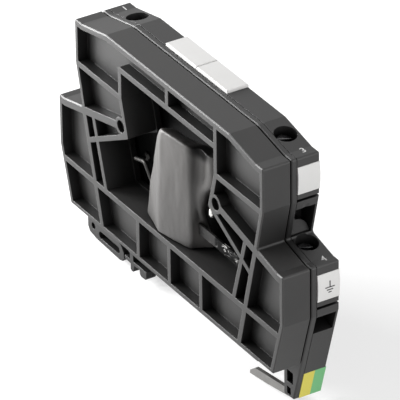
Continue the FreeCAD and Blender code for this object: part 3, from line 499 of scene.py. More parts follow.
def runny_solder(wrapped_until, tinned_from):
    """Near-black base, partly flux and partly painted dark reflection, with painted glints along x.
    """
    material, tree, shader = new_material("runny_solder", IOR=1.5)
    place = add_node(tree, "ShaderNodeTexCoord")
    split = add_node(tree, "ShaderNodeSeparateXYZ")
    along = add_node(tree, "ShaderNodeMapping", "along the strip", Scale=(320.0, 800.0, 900.0))
    runs = add_node(tree, "ShaderNodeTexNoise", "runs", Scale=1.0, Detail=3.0, Distortion=0.8)
    patches = add_node(tree, "ShaderNodeTexNoise", "patches", Scale=420.0, Detail=1.0)
    here = add_node(tree, "ShaderNodeMapRange", "only in places", From_Min=0.45, From_Max=0.6)
    level = add_node(tree, "ShaderNodeMath", "distance from the contour", operation="SUBTRACT")
    level.inputs[1].default_value = 0.5
    size = add_node(tree, "ShaderNodeMath", operation="ABSOLUTE")
    thin = add_node(tree, "ShaderNodeMapRange", "thin lines", From_Max=0.03, To_Min=1.0, To_Max=0.0)
    some = add_node(tree, "ShaderNodeMath", "lines in places", operation="MULTIPLY")
    begin = add_node(
        tree, "ShaderNodeMapRange", "tinned end", From_Min=wrapped_until, From_Max=tinned_from,
    )
    # Painted glints: thin bright metallic lines at the tinned end.
    painted_glint = add_node(tree, "ShaderNodeMath", "at the tinned end", operation="MULTIPLY")
    # The near-black base is partly flux and partly a painted dark reflection of the cavity.
    back = mix_colours(tree, "wrapped, or flux with painted dark reflection", A=(0.011, 0.0105, 0.01), B=(0.003, 0.003, 0.003))
    shine = add_node(
        tree, "ShaderNodeMapRange", "wrapped shines, flux doesn't", To_Min=0.3, To_Max=0.05,
    )
    tint = mix_colours(tree, "dark base or painted glint", B=(0.8, 0.79, 0.77))
    rough = add_node(tree, "ShaderNodeMapRange", "roughness", To_Min=0.5, To_Max=0.22)
    bump = add_node(tree, "ShaderNodeBump", "lumps", Strength=0.8, Distance=0.0002)
    connect(
        tree,
        (place, "Object", split, "Vector"),
        (place, "Object", along, "Vector"),
        (along, "Vector", runs, "Vector"),
        (place, "Object", patches, "Vector"),
        (patches, "Fac", here, "Value"),
        (runs, "Fac", level, 0),
        (level, "Value", size, 0),
        (size, "Value", thin, "Value"),
        (split, "X", begin, "Value"),
        (thin, "Result", some, 0),
        (here, "Result", some, 1),
        (some, "Value", painted_glint, 0),
        (begin, "Result", painted_glint, 1),
        (begin, "Result", back, "Factor"),
        (begin, "Result", shine, "Value"),
        (shine, "Result", shader, "Specular IOR Level"),
        (back, "Result", tint, "A"),
        (painted_glint, "Value", tint, "Factor"),
        (tint, "Result", shader, "Base Color"),
        (painted_glint, "Value", shader, "Metallic"),
        (painted_glint, "Value", rough, "Value"),
        (rough, "Result", shader, "Roughness"),
        (runs, "Fac", bump, "Height"),
        (bump, "Normal", shader, "Normal"),
    )
    return material


strip_tin = runny_solder(wrapped_until=8.6 * MM, tinned_from=9.2 * MM)
board_lacquer_painted_dark = lacquered_board()
tube_low, tube_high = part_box("gas_discharge_tube")
tube_finish = banded_tube(tube_low.z, tube_high.z, cap=0.9 * MM)
varistor_blue = plain_moulding("varistor_blue", (0.03, 0.09, 0.26), 0.8, 0.3, 0.5)
chip_black = plain_moulding("chip_black", (0.018, 0.018, 0.019), 1.5, 0.6, 0.6)
print("hidden finishes are ready; tube height in mm:", round((tube_high.z - tube_low.z) / MM, 2))

# %% [markdown]
# ## Give each CAD part its finish
# A CAD part keeps its shape and place. Only its material slot changes, so this cell is a plain
# list that pairs names with finishes.

# %% Paint the CAD parts
FINISHES = {
    "ribbed_frame": frame_plastic,
    "side_cover": cover_plastic,
    "terminal_housing": housing_plastic,
    "circuit_board": board_lacquer_painted_dark,
    "gas_discharge_tube": tube_finish,
    "varistor_lower": varistor_blue,
    "varistor_upper": varistor_blue,
    "varistor_lead": shaded_lead_tin,
    "gas_tube_lead": shaded_lead_tin,
    "link_strip": strip_tin,
    "earth_contact": contact_tin,
    "earth_field_yellow": earth_yellow,
    "earth_field_green": earth_green,
    "top_marker_1": label_white,
    "top_marker_2": label_white,
}
CLAMPS = (1, 2, 3, 4)
for side in ("left", "right"):
    FINISHES["suppressor_diode_" + side] = chip_black
    FINISHES["decoupling_resistor_" + side] = chip_black
for number in CLAMPS:
    FINISHES["end_marker_%d" % number] = label_white
    FINISHES["current_bar_%d" % number] = tinned
    FINISHES["clamp_yoke_%d" % number] = zinc
    FINISHES["clamp_screw_%d" % number] = zinc


def paint(mesh, material):
    """Give a mesh one finish."""
    mesh.materials.clear()
    mesh.materials.append(material)


for name, material in FINISHES.items():
    paint(parts[name].data, material)
print("painted", len(FINISHES), "parts")

# %% [markdown]
# ## Helpers for new pieces
# New meshes are built from lists of points and faces, or with bmesh. Each finished piece rides on
# a CAD body, so that it moves with that body when a joint moves.

# %% Helpers for meshes
def add_piece(name, mesh, material, body="housing"):
    """Show a mesh as a named piece, paint it and let it ride on a body."""
    piece = new_object(name, mesh)
    paint(mesh, material)
    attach(piece, body)
    return piece


def mesh_of(name, points, faces):
    """A mesh from a list of points and a list of faces."""
    mesh = bpy.data.meshes.new(name)
    mesh.from_pydata(points, [], faces)
    return mesh


def mesh_of_rings(name, rings):
    """Quads between rings of equal length, closed by one lid below and one above."""
    points, faces = [point for ring in rings for point in ring], []
    around = len(rings[0])
    last = len(points) - around
    for low in range(0, last, around):
        high = low + around
        for step in range(around):
            nearby = (step + 1) % around
            faces.append((low + step, low + nearby, high + nearby, high + step))
    faces.append(tuple(reversed(range(around))))
    faces.append(tuple(range(last, len(points))))
    return mesh_of(name, points, faces)


def mesh_of_shape(name, shape):
    """A mesh from a bmesh, which is freed."""
    mesh = bpy.data.meshes.new(name)
    shape.to_mesh(mesh)
    shape.free()
    return mesh


def baked_mesh(maker, *tools):
    """The mesh of an object with its modifiers applied; it and its tools are then removed."""
    bpy.context.view_layer.update()
    seen = maker.evaluated_get(bpy.context.evaluated_depsgraph_get())
    mesh = bpy.data.meshes.new_from_object(seen)
    for used in (maker, *tools):
        bpy.data.objects.remove(used)
    return mesh


def smooth_by_angle(mesh, degrees):
    """Smooth shading, with edges sharper than an angle left crisp."""
    mesh.polygons.foreach_set("use_smooth", [True] * len(mesh.polygons))
    mesh.set_sharp_from_angle(angle=math.radians(degrees))


print("mesh helpers are ready")

# %% [markdown]
# ## The shrink-wrapped block
# Two varistor discs and a gas tube are bundled under one dark sleeve that was shrunk with hot air.
# The film pulls tight over the discs, leaves a flat front, a slanting left side that widens
# downwards, and a round bulge at the back right, and it necks in below the tube.
# A coarse cage of rings, one for each height, follows those forms. Creased edges keep the folds,
# and a subdivision modifier rounds the rest, as the film does. Fine wrinkles are then pushed in
# along the normals with smooth noise.

# %% Cage of the sleeve
SLEEVE_AT = Vector((-3.4, -5.55, 7.8))
SLEEVE_TURN = Matrix.Rotation(math.radians(11.3), 3, "Z")
# One row per height above the frame's lower edge, bottom first: left edge (u, v), left and right
# end of the flat front, front v, back v, valley (u, v), middle (u, v) and radius of the rounded
# right side.
SLEEVE_ROWS = (
    (10.3, (-9.6, 3.2), -3.1, 5.9, 0.0, 4.9, (7.0, 1.7), (8.0, 3.9), 0.85),
    (11.4, (-9.5, 3.1), -3.1, 6.0, 0.0, 4.9, (7.0, 1.6), (7.8, 3.8), 0.85),
    (14.4, (-8.7, 2.8), -3.1, 6.1, -0.1, 4.8, (6.8, 1.1), (7.0, 3.2), 0.9),
    (17.6, (-7.9, 2.3), -3.0, 6.0, -0.1, 4.6, (6.6, 0.7), (6.5, 2.3), 0.95),
    (20.0, (-7.1, 2.0), -2.8, 5.9, 0.0, 4.5, (6.6, 0.7), (6.8, 2.2), 1.15),
    (22.6, (-6.2, 1.6), -2.6, 5.8, 0.0, 4.5, (6.7, 1.0), (7.3, 2.5), 1.5),
    (24.2, (-5.7, 1.4), -2.5, 5.8, 0.0, 4.5, (6.75, 1.4), (8.8, 2.9), 1.9),
    (25.6, (-5.2, 1.2), -2.5, 5.8, 0.0, 4.5, (6.7, 1.8), (10.15, 3.2), 2.35),
    (28.4, (-4.4, 0.9), -2.3, 5.8, 0.0, 4.4, (6.7, 1.9), (10.2, 3.2), 2.35),
    (30.8, (-3.8, 0.7), -2.2, 5.8, 0.0, 4.3, (6.7, 1.9), (10.2, 3.2), 2.35),
    (32.1, (-3.4, 0.8), -2.1, 5.8, 0.05, 4.3, (6.7, 2.0), (10.2, 3.2), 2.35),
    (33.1, (-3.1, 1.0), -2.0, 5.7, 0.3, 4.1, (6.6, 2.1), (10.2, 3.2), 2.35),
    (33.3, (-2.7, 1.7), -1.7, 5.5, 1.0, 3.5, (6.2, 2.4), (10.2, 3.2), 2.0),
)
FRONT_BELLY, BACK_U, BACK_INSET = 0.18, (4.5, -0.5), 0.2
# Each angle round the bulge, and how far it moves on for each millimetre of lost radius.
BULGE_ANGLES = (
    (228.0, 41.0), (277.0, 24.0), (326.0, 10.0), (15.0, 0.0), (65.0, 0.0), (115.0, 0.0),
)
BULGE_TOP, BULGE_DROP, FULL_RADIUS = 30.0, 0.42, 2.35
TILT_START, TOP_Z_ROW, TOP_TILT, TOP_SLOPE = 29.0, 33.3, 0.011, 0.42


def sleeve_ring(row):
    """The plan of the block at one height: left, front, fold, bulge and back."""
    z, left, ridge_u, fold_u, front, back, valley, middle, radius = row
    share = max(0.0, (z - TILT_START) / (TOP_Z_ROW - TILT_START))

    def tilted(u, v):
        return (u, v, z - share * (TOP_TILT * (u - left[0]) ** 2 + TOP_SLOPE * v))

    belly = ((ridge_u + fold_u) / 2.0, front - FRONT_BELLY)
    plan = [tilted(*left), tilted(ridge_u, front), tilted(*belly), tilted(fold_u, front)]
    lower = z - max(0.0, z - BULGE_TOP) * BULGE_DROP
    plan.append((*valley, (plan[-1][2] + lower) / 2.0))
    for degrees, step in BULGE_ANGLES:
        angle = math.radians(degrees + step * (FULL_RADIUS - radius))
        u, v = middle[0] + radius * math.cos(angle), middle[1] + radius * math.sin(angle)
        plan.append((u, v, lower))
    return plan + [tilted(u, back) for u in (*BACK_U, left[0] + BACK_INSET)]


def sleeve_point(u, v, z):
    """A point of the block's own plan, turned and moved to its place, in metres."""
    turned = SLEEVE_TURN @ Vector((u, v, 0.0))
    return (turned + SLEEVE_AT + Vector((0.0, 0.0, z))) * MM


rings = [[sleeve_point(*point) for point in sleeve_ring(row)] for row in SLEEVE_ROWS]
cage, sleeve_columns = mesh_of_rings("sleeve_cage", rings), len(rings[0])
print("sleeve cage:", len(cage.vertices), "points,", len(cage.polygons), "faces")

# %% Round the cage and add wrinkles
# How sharp the edges stay, from 0 to 1: all round the bottom, and up the left edge, the ridge and
# the fold, which are columns 0, 1 and 3 of the cage.
BOTTOM_CREASE, COLUMN_CREASES = 0.75, {0: 0.6, 1: 0.5, 3: 0.35}
ROUNDING_LEVELS = 4
# Each kind of wrinkle: scale along x, y and z, shift of the noise, and depth in millimetres.
WRINKLES = (
    ((0.35, 0.35, 0.16), (0.0, 0.0, 0.0), 0.1),
    ((1.1, 1.1, 0.28), (7.0, 0.0, 0.0), 0.03),
    ((2.4, 2.4, 1.3), (0.0, 3.0, 0.0), 0.012),
)


def crease_of(low, high):
    """How sharp the edge between two cage points stays."""
    if low // sleeve_columns == high // sleeve_columns:
        return BOTTOM_CREASE if low < sleeve_columns else 0.0
    return COLUMN_CREASES.get(low % sleeve_columns, 0.0)


def wrinkled(mesh):
    """Push the film in and out by a few hundredths of a millimetre."""
    normals = [v.normal.copy() for v in mesh.vertices]
    for vertex, normal in zip(mesh.vertices, normals):
        place, push = vertex.co / MM, 0.0
        for scale, shift, depth in WRINKLES:
            push += depth * noise.noise(Vector([c * k + s for c, k, s in zip(place, scale, shift)]))
        vertex.co += normal * push * MM


def shrunk_sleeve(material):
    """The rounded and wrinkled cage, which stands for the plain sleeve of the CAD model."""
    creases = cage.attributes.new("crease_edge", "FLOAT", "EDGE")
    for edge in cage.edges:
        creases.data[edge.index].value = crease_of(*sorted(edge.vertices))
    maker = new_object("sleeve_maker", cage)
    rounding = maker.modifiers.new("round the film", "SUBSURF")
    rounding.levels = rounding.render_levels = ROUNDING_LEVELS
    mesh = baked_mesh(maker)
    wrinkled(mesh)
    smooth_by_angle(mesh, 80)
    sleeve = add_piece("shrunk_sleeve", mesh, material)
    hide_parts("heat_shrink_sleeve")
    return sleeve


print("kinds of wrinkles:", len(WRINKLES))

# %% [markdown]
# ## The film itself
# Shrunk polyolefin is dark grey with a soft, slightly waxy shine. Its colour is painted paler
# upwards, as painted light from above, and paler again at its lower right, as a painted pool of
# light. Vertical streaks move its roughness. The shoulder beside the tube gets a painted shadow
# that darkens its colour and takes away its shine, and sheltered places get painted shade.

# %% Material: shrunk film
sleeve_low, sleeve_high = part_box("heat_shrink_sleeve")
# Painted shadow: around this spot the film's colour is darkened and its shine lowered.
SHADOWED_SHOULDER = Vector((4.1, -2.5, 40.2)) * MM
# Painted light: around this spot at the lower right the film's colour is made up to five times
# paler.
LIT_FOOT_SPOT = Vector((4.15, 0.0, 20.5)) * MM


def around_place(tree, coordinates, spot, label, near, far, **values):
    """A factor that changes smoothly with the distance from one spot."""
    gap = add_node(tree, "ShaderNodeVectorMath", label, operation="DISTANCE")
    gap.inputs[1].default_value = spot
    factor = add_node(
        tree, "ShaderNodeMapRange", label, interpolation_type="SMOOTHSTEP",
        From_Min=near, From_Max=far, **values,
    )
    connect(tree, (coordinates, "Object", gap, 0), (gap, "Value", factor, "Value"))
    return factor


def shrunk_film():
    """Dark film with vertical streaks, a painted shadow on the shoulder and painted light at the
    foot.
    """
    material, tree, shader = new_material(
        "shrunk_film", IOR=1.5, Coat_Roughness=0.3, Coat_Weight=0.05,
    )
    place = add_node(tree, "ShaderNodeTexCoord")
    pull = add_node(tree, "ShaderNodeMapping", "pulled downwards", Scale=(420.0, 420.0, 150.0))
    streaks = add_node(tree, "ShaderNodeTexNoise", "streaks", Scale=1.0, Detail=3.0, Distortion=0.4)
    grain = use_group(tree, grain_group, Fine_Scale=2600.0, Cloud_Scale=150.0)
    split = add_node(tree, "ShaderNodeSeparateXYZ")
    # Painted light: the film's colour grows paler towards the top, as if lit from above.
    height = add_node(
        tree, "ShaderNodeMapRange", "painted light from above",
        From_Min=sleeve_low.z, From_Max=sleeve_high.z,
    )
    drift = add_node(tree, "ShaderNodeMath", "with streaks", operation="MULTIPLY_ADD")
    drift.inputs[1].default_value = 0.3
    tint = mix_colours(tree, "film painted paler upwards", A=(0.045, 0.043, 0.042), B=(0.09, 0.086, 0.083))
    # A painted shadow on the shoulder beside the tube, for colour and shine.
    painted_shoulder_shadow = around_place(
        tree, place, SHADOWED_SHOULDER, "painted shadow on the shoulder", 0.0016, 0.0034, To_Min=0.12,
    )
    # A painted pool of light on the film's lower right face.
    painted_foot_light = around_place(
        tree, place, LIT_FOOT_SPOT, "painted light on the foot", 0.0015, 0.0055, To_Min=5.0, To_Max=1.0,
    )
    places = add_node(tree, "ShaderNodeMath", "both places", operation="MULTIPLY")
    painted_light_and_shade = mix_colours(tree, "colour at both places", blend_type="MULTIPLY", Factor=1.0)
    shade, shine = darker_in_shelter(tree, shader, lowest=0.1)
    less = add_node(tree, "ShaderNodeMath", "painted shadow on the shine", operation="MULTIPLY")
    rough = add_node(tree, "ShaderNodeMapRange", "waxy shine", To_Min=0.38, To_Max=0.44)
    skin = add_node(tree, "ShaderNodeBump", "streaked skin", Strength=0.04, Distance=0.0001)
    fine = add_node(tree, "ShaderNodeBump", "fine skin", Strength=0.25, Distance=GRAIN_HEIGHT)
    connect(
        tree,
        (place, "Object", pull, "Vector"),
        (pull, "Vector", streaks, "Vector"),
        (place, "Object", split, "Vector"),
        (split, "Z", height, "Value"),
        (streaks, "Fac", drift, 0),
        (height, "Result", drift, 2),
        (drift, "Value", tint, "Factor"),
        (tint, "Result", painted_light_and_shade, "A"),
        (painted_shoulder_shadow, "Result", places, 0),
        (painted_foot_light, "Result", places, 1),
        (places, "Value", painted_light_and_shade, "B"),
        (painted_light_and_shade, "Result", shade, "A"),
        (shine, "Value", less, 0),
        (painted_shoulder_shadow, "Result", less, 1),
        (less, "Value", shader, "Specular IOR Level"),
        (streaks, "Fac", rough, "Value"),
        (rough, "Result", shader, "Roughness"),
        (streaks, "Fac", skin, "Height"),
        (skin, "Normal", fine, "Normal"),
        (grain, "Grain", fine, "Height"),
        (fine, "Normal", shader, "Normal"),
    )
    return material


sleeve = shrunk_sleeve(shrunk_film())
print("sleeve:", len(sleeve.data.polygons), "faces")

# %% [markdown]
# ## Clamp screws with real threads
# Each clamp has an M3 screw with a half-millimetre pitch, so one turn lifts its yoke by half a
# millimetre. The CAD screw is a plain cylinder, which is right for fits but dull to look at. The
# shank here is a grid of points whose radius swings between root and crest as it winds upwards,
# and the head is a turned profile with a slot cut into it.

# %% Build one screw
PITCH = 0.5
CREST_R, ROOT_R, TIP_LOSS, TAPER = 1.45, 1.15, 0.15, 0.6
TIP_Z, HEAD_Z, TOP_Z = 3.2, 9.5, 10.9
HEAD_R, SLOT_LENGTH, SLOT_W, SLOT_DEPTH, SLOT_TURN = 1.9, 5.0, 0.7, 0.7, 70.0
# The head from below upwards, as radius and height.
HEAD_PROFILE = (
    (HEAD_R - 0.12, HEAD_Z), (HEAD_R, HEAD_Z + 0.12), (HEAD_R, TOP_Z - 0.35),
    (HEAD_R - 0.1, TOP_Z - 0.14), (HEAD_R - 0.3, TOP_Z - 0.03), (HEAD_R - 0.5, TOP_Z),
)
DEBURR = 0.05
STEPS_ROUND, STEPS_PER_TURN = 36, 8
ANGLES = [2.0 * math.pi * step / STEPS_ROUND for step in range(STEPS_ROUND)]


def thread_radius(z, angle):
    """Triangular thread that fades in at the tip."""
    phase = (z / PITCH - angle / (2.0 * math.pi)) % 1.0
    crest = 1.0 - abs(2.0 * phase - 1.0)
    taper = min(1.0, (z - TIP_Z) / TAPER)
    return ROOT_R - TIP_LOSS * (1.0 - taper) + (CREST_R - ROOT_R) * crest * taper


def turned_ring(z, radii):
    """Points round the axis at one height, with a radius for each angle."""
    return [Vector((r * math.cos(a), r * math.sin(a), z)) * MM for a, r in zip(ANGLES, radii)]


def threaded_shank():
    """Rings from the tip to the head, eight for each turn of the thread."""
    count = int((HEAD_Z - TIP_Z) / PITCH * STEPS_PER_TURN)
    heights = [TIP_Z + (HEAD_Z - TIP_Z) * index / count for index in range(count + 1)]
    rings = [turned_ring(z, [thread_radius(z, a) for a in ANGLES]) for z in heights]
    return mesh_of_rings("shank", rings)


def slotted_head():
    """The turned head with a slot cut across it and its edges taken off."""
    rings = [turned_ring(z, [radius] * STEPS_ROUND) for radius, z in HEAD_PROFILE]
    head = new_object("head_maker", mesh_of_rings("head", rings))
    block = bmesh.new()
    bmesh.ops.create_cube(block, size=1.0)
    slot = (SLOT_LENGTH * MM, SLOT_W * MM, 2.0 * SLOT_DEPTH * MM)
    bmesh.ops.scale(block, vec=slot, verts=block.verts)
    bmesh.ops.translate(block, vec=(0.0, 0.0, TOP_Z * MM), verts=block.verts)
    cutter = new_object("slot_maker", mesh_of_shape("slot", block))
    cut = head.modifiers.new("slot", "BOOLEAN")
    cut.operation, cut.object, cut.solver = "DIFFERENCE", cutter, "EXACT"
    softened = head.modifiers.new("deburr", "BEVEL")
    softened.width, softened.segments, softened.limit_method = DEBURR * MM, 2, "ANGLE"
    return baked_mesh(head, cutter)


def screw_mesh():
    """Shank and head in one mesh, standing on the z axis."""
    shape = bmesh.new()
    for part in (threaded_shank(), slotted_head()):
        shape.from_mesh(part)
    slot_turn = Matrix.Rotation(math.radians(SLOT_TURN), 3, "Z")
    bmesh.ops.rotate(shape, matrix=slot_turn, verts=shape.verts)
    mesh = mesh_of_shape("clamp_screw", shape)
    smooth_by_angle(mesh, 35)
    return mesh


one_screw = screw_mesh()
print("one screw has", len(one_screw.polygons), "faces")

# %% [markdown]
# ## Put the screws in their clamps
# The joints of the CAD model say where each screw's axis lies. The axis points down the screw,
# because a positive turn drives it in, so the mesh is turned to stand against it. On the left the
# slots are mirrored.

# %% Place the four screws
joints = {joint["name"]: joint for joint in frame["joints"]}
for number in CLAMPS:
    joint = joints["screw_%d_turn" % number]
    upwards = -Vector(joint["axis"]).normalized()
    tilt = math.atan2(upwards.x, upwards.z)
    mesh = one_screw.copy()
    if upwards.x < 0.0:
        mesh.transform(Matrix.Rotation(math.radians(-2.0 * SLOT_TURN), 4, "Z"))
    mesh.transform(Matrix.Rotation(tilt, 4, "Y"))
    mesh.transform(Matrix.Translation(Vector(joint["pos_m"])))
    screw = add_piece("threaded_screw_%d" % number, mesh, zinc, "screw_%d" % number)
    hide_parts("clamp_screw_%d" % number)
print("screws placed:", [n for n in joints if n.startswith("screw")])

# %% [markdown]
# ## Printed numbers and the earth sign
# Each clamp has its number in white ink on the sloping shoulder beside its screw, to be read from
# the front of the cabinet with the left end upwards. The label of the fourth clamp carries the
# plain earth sign. Ink has almost no thickness, so the figures are flat shapes that are cut along
# the shoulder's bend and laid a hundredth of a millimetre above the surface.

# %% Surfaces that carry ink
# Each shoulder of the outline: the two ends (x, z) of its slope. It is level further out.
UPPER_STEP = ((31.2, 42.6), (22.1, 44.5))
LOWER_STEP = ((38.5, 22.8), (31.6, 24.4))
# The outline's own origin lies this far to the left of the scene's, above it and before it.
RAIL_SHIFT, SEAT_DROP, HALF_WIDTH = 2.5, 7.8, 6.2
INK_LIFT = 0.012
# A capital letter fills 0.7 of its font size, and the strokes grow by a hundredth of the height.
FIGURE_HEIGHT, CAPITAL_SHARE, STROKE_GROWTH = 1.55, 0.7, 0.01


def step_height(x, step):
    """Height of the shoulder at a distance from the outline's middle."""
    (x0, z0), (x1, z1) = step
    return z0 if x >= x0 else z0 + (z1 - z0) * (x0 - x) / (x0 - x1)


def figure_mesh(character):
    """A flat outline of one character, upright in the xy plane and centred."""
    text = bpy.data.curves.new("figure", "FONT")
    text.body, text.size = character, FIGURE_HEIGHT / CAPITAL_SHARE
    text.offset = STROKE_GROWTH * FIGURE_HEIGHT
    mesh = baked_mesh(new_object("figure", text))
    xs = [v.co.x for v in mesh.vertices]
    ys = [v.co.y for v in mesh.vertices]
    middle = Vector(((min(xs) + max(xs)) / 2, (min(ys) + max(ys)) / 2, 0.0))
    mesh.transform(Matrix.Translation(-middle))
    return mesh


def lay_figure(number, step, x_mid, y_mid):
    """Turn a figure so that it reads along y, cut it at the bend and drop it on the shoulder."""
    side = math.copysign(1.0, x_mid)
    shape = bmesh.new()
    shape.from_mesh(figure_mesh(str(number)))
    for vertex in shape.verts:
        vertex.co = Vector((x_mid - vertex.co.y, y_mid + vertex.co.x, 0.0))
    whole = shape.verts[:] + shape.edges[:] + shape.faces[:]
    bend = Vector((side * step[0][0], 0.0, 0.0))
    bmesh.ops.bisect_plane(shape, geom=whole, plane_co=bend, plane_no=Vector((1.0, 0.0, 0.0)))
    for vertex in shape.verts:
        x, y, _ = vertex.co
        z = step_height(side * x, step) + INK_LIFT
        vertex.co = Vector((x - RAIL_SHIFT, y - HALF_WIDTH, z + SEAT_DROP)) * MM
    name = "clamp_number_%d" % number
    return add_piece(name, mesh_of_shape(name, shape), white_ink)


print("ink lies", INK_LIFT, "mm above the plastic")

# %% Print the numbers
for number, step, x_mid, y_mid in (
    (1, UPPER_STEP, -32.1, 10.2), (2, LOWER_STEP, -38.7, 10.1),
    (3, UPPER_STEP, 31.7, 10.05), (4, LOWER_STEP, 38.65, 10.05),
):
    lay_figure(number, step, x_mid, y_mid)
print("numbers 1 to 4 are printed")

# %% Print the earth sign
SIGN_Y, SIGN_Z = 10.2, 17.75
STEM_HEIGHT, BAR_WIDTHS, BAR_GAP, BAR_HALF, BAR_ROWS = 1.35, (2.1, 1.4, 0.7), 0.55, 0.12, 4
marker_low, marker_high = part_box("end_marker_4")
CROWN = 0.25
MARKER_H = (marker_high.z - marker_low.z) / MM
# The plate is thinned by the ink and a micrometre more.
INK_ROOM = INK_LIFT + 0.001


def on_marker(y, z):
    """A point just above the crowned face of the fourth label."""
    middle = (marker_low.z + marker_high.z) / 2.0 / MM - SEAT_DROP
    drop = CROWN * (2.0 * (z - middle) / MARKER_H) ** 2
    x = marker_high.x / MM - drop
    return Vector((x, y - HALF_WIDTH, z + SEAT_DROP)) * MM


def earth_sign():
    """A stem over three bars of falling width, as strips of small quads that follow the crown."""
    bars = [(BAR_HALF, SIGN_Z, SIGN_Z + STEM_HEIGHT)]
    for index, width in enumerate(BAR_WIDTHS):
        z = SIGN_Z - BAR_GAP * index
        bars.append((width / 2, z - BAR_HALF, z + BAR_HALF))
    points, faces = [], []
    for half, z0, z1 in bars:
        for row in range(BAR_ROWS + 1):
            if row:
                low = len(points) - 2
                faces.append((low, low + 1, low + 3, low + 2))
            z = z0 + (z1 - z0) * row / BAR_ROWS
            points += [on_marker(SIGN_Y - half, z), on_marker(SIGN_Y + half, z)]
    return add_piece("earth_sign", mesh_of("earth_sign", points, faces), dark_ink)


def earth_label():
    """The fourth plate, thinner by the ink, so that the printed plate is as thick as the others."""
    mesh = parts["end_marker_4"].data.copy()
    depth = marker_high.x - marker_low.x
    to_back = Matrix.Translation((marker_low.x, 0.0, 0.0))
    thinner = Matrix.Scale(1.0 - INK_ROOM * MM / depth, 4, (1.0, 0.0, 0.0))
    mesh.transform(to_back @ thinner @ to_back.inverted())
    label = add_piece("earth_label", mesh, label_white)
    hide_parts("end_marker_4")


earth_label()
print("earth sign faces:", len(earth_sign().data.polygons))

# %% [markdown]
# ## Solder
# Where a lead meets the board there is a drop of solder; the drops on the board are painted almost
# black, as painted shade in the cavity. The strip carries thin bright runs of solder, which are
# painted glints, over a near-black base. Each drop is a small icosphere, flattened and pushed about
# with noise, so that it looks like metal that froze as it wetted the wire.

# %% Solder joints
LUMP_SCALE = 1.7


def solder_blob(name, centre, size, seed, lumps=0.18, material=solder):
    """A frozen drop with given half sizes, in millimetres of the outline's frame."""
    shape = bmesh.new()
    bmesh.ops.create_icosphere(shape, subdivisions=4, radius=1.0)
    for vertex in shape.verts:
        push = 1.0 + lumps * noise.noise(vertex.co * LUMP_SCALE + Vector((seed, 0.0, seed)))
        spot = Vector(centre) + Vector([c * s * push for c, s in zip(vertex.co, size)])
        vertex.co = (spot - Vector((RAIL_SHIFT, HALF_WIDTH, -SEAT_DROP))) * MM
    mesh = mesh_of_shape(name, shape)
    smooth_by_angle(mesh, 180)
    return add_piece(name, mesh, material)


solder_blob("solder_tube_lead", (11.4, 2.75, 21.3), (0.6, 0.6, 1.05), 3.1)
# These two drops use the lead's finish, painted almost black as painted shade.
solder_blob("solder_board_left", (-21.0, 8.0, 15.8), (0.95, 0.55, 0.95), 5.3, material=shaded_lead_tin)
solder_blob("solder_board_right", (13.4, 8.0, 21.2), (0.95, 0.55, 0.95), 7.7, material=shaded_lead_tin)
solder_blob("solder_strip", (18.9, 3.25, 14.7), (2.3, 0.3, 1.0), 9.2, lumps=0.6, material=strip_tin)
print("solder joints placed")

# %% [markdown]
# ## Floor and light
# The photograph has a white ground and soft, even light. The floor is white and keeps the shadow,
# and it glows a little more far away, where the lamps hardly reach. The camera and shiny surfaces
# see the world as plain white, while the light that reaches the object from it is gentler. A lamp
# low on the left grazes the pockets and the film, so they fade from left to right. A small one at
# the front left draws the highlights on folds and edges. Weaker ones from above and from the right
# lift the top and the end faces.

# %% Floor
FLOOR_HALF, FLOOR_GAP = 3.0, 0.0002
NEAR_GLOW, FAR_GLOW = 0.54, 1.0


def seen_directly(tree):
    """A node that gives one to the camera, mirrors and glass, and zero to gathered light."""
    path = add_node(tree, "ShaderNodeLightPath")
    mirror = add_node(tree, "ShaderNodeMath", "camera or mirror", operation="MAXIMUM")
    glass = add_node(tree, "ShaderNodeMath", "or through glass", operation="MAXIMUM")
    connect(
        tree,
        (path, "Is Camera Ray", mirror, 0),
        (path, "Is Glossy Ray", mirror, 1),
        (mirror, "Value", glass, 0),
        (path, "Is Transmission Ray", glass, 1),
    )
    return glass


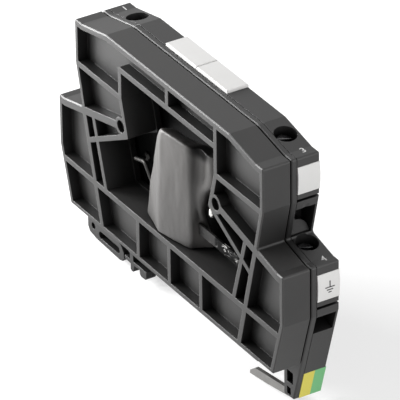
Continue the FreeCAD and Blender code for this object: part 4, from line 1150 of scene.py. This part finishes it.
floor_z = cad_low.z - FLOOR_GAP
corners = ((-1, -1), (1, -1), (1, 1), (-1, 1))
floor_points = [(x * FLOOR_HALF, y * FLOOR_HALF, floor_z) for x, y in corners]
floor = new_object("floor", mesh_of("floor", floor_points, [(0, 1, 2, 3)]))
floor_material = bpy.data.materials.new("white_ground")
floor_material.use_nodes = True
tree = floor_material.node_tree
tree.nodes.clear()
matt = add_node(tree, "ShaderNodeBsdfDiffuse", Color=(0.5, 0.5, 0.5, 1.0))
glow = add_node(tree, "ShaderNodeEmission", Color=(1.0, 1.0, 1.0, 1.0))
seen = seen_directly(tree)
share = add_node(tree, "ShaderNodeMath", "glow", operation="MULTIPLY")
spot = add_node(tree, "ShaderNodeTexCoord")
reach = add_node(tree, "ShaderNodeVectorMath", "distance from the object", operation="LENGTH")
evened = add_node(
    tree, "ShaderNodeMapRange", "makes up for distant lamps", interpolation_type="SMOOTHSTEP",
    From_Min=0.1, From_Max=0.5, To_Min=NEAR_GLOW, To_Max=FAR_GLOW,
)
both = add_node(tree, "ShaderNodeAddShader")
out = add_node(tree, "ShaderNodeOutputMaterial")
connect(
    tree,
    (seen, "Value", share, 0),
    (spot, "Object", reach, 0),
    (reach, "Value", evened, "Value"),
    (evened, "Result", share, 1),
    (share, "Value", glow, "Strength"),
    (matt, "BSDF", both, 0),
    (glow, "Emission", both, 1),
    (both, "Shader", out, "Surface"),
)
paint(floor.data, floor_material)
print("floor height in mm:", round(floor_z / MM, 2))

# %% World
LIGHT_STRENGTH, SEEN_STRENGTH = 0.38, 1.0
world = bpy.data.worlds.new("studio")
bpy.context.scene.world = world
world.use_nodes = True
tree = world.node_tree
ground = tree.nodes["Background"]
ground.inputs["Color"].default_value = (1.0, 1.0, 1.0, 1.0)
strength = add_node(
    tree, "ShaderNodeMapRange", "world strength", To_Min=LIGHT_STRENGTH, To_Max=SEEN_STRENGTH,
)
connect(
    tree,
    (seen_directly(tree), "Value", strength, "Value"),
    (strength, "Result", ground, "Strength"),
)
print("world strength for light and for the eye:", LIGHT_STRENGTH, SEEN_STRENGTH)

# %% Lamps
def soft_lamp(name, place, size, power):
    """A square area lamp, placed in millimetres, that looks at the middle of the object."""
    lamp = bpy.data.lights.new(name, "AREA")
    lamp.shape, lamp.size, lamp.energy = "SQUARE", size * MM, power
    holder = new_object(name, lamp)
    holder.location = Vector(place) * MM
    away = holder.location - (cad_low + cad_high) / 2.0
    holder.rotation_euler = away.to_track_quat("Z", "Y").to_euler()


soft_lamp("left_lamp", (-240.0, -130.0, 85.0), 110.0, 1.7)
soft_lamp("edge_lamp", (-135.0, -200.0, 145.0), 50.0, 0.35)
soft_lamp("top_lamp", (100.0, 100.0, 900.0), 600.0, 0.62)
soft_lamp("right_lamp", (900.0, 100.0, 300.0), 600.0, 5.0)
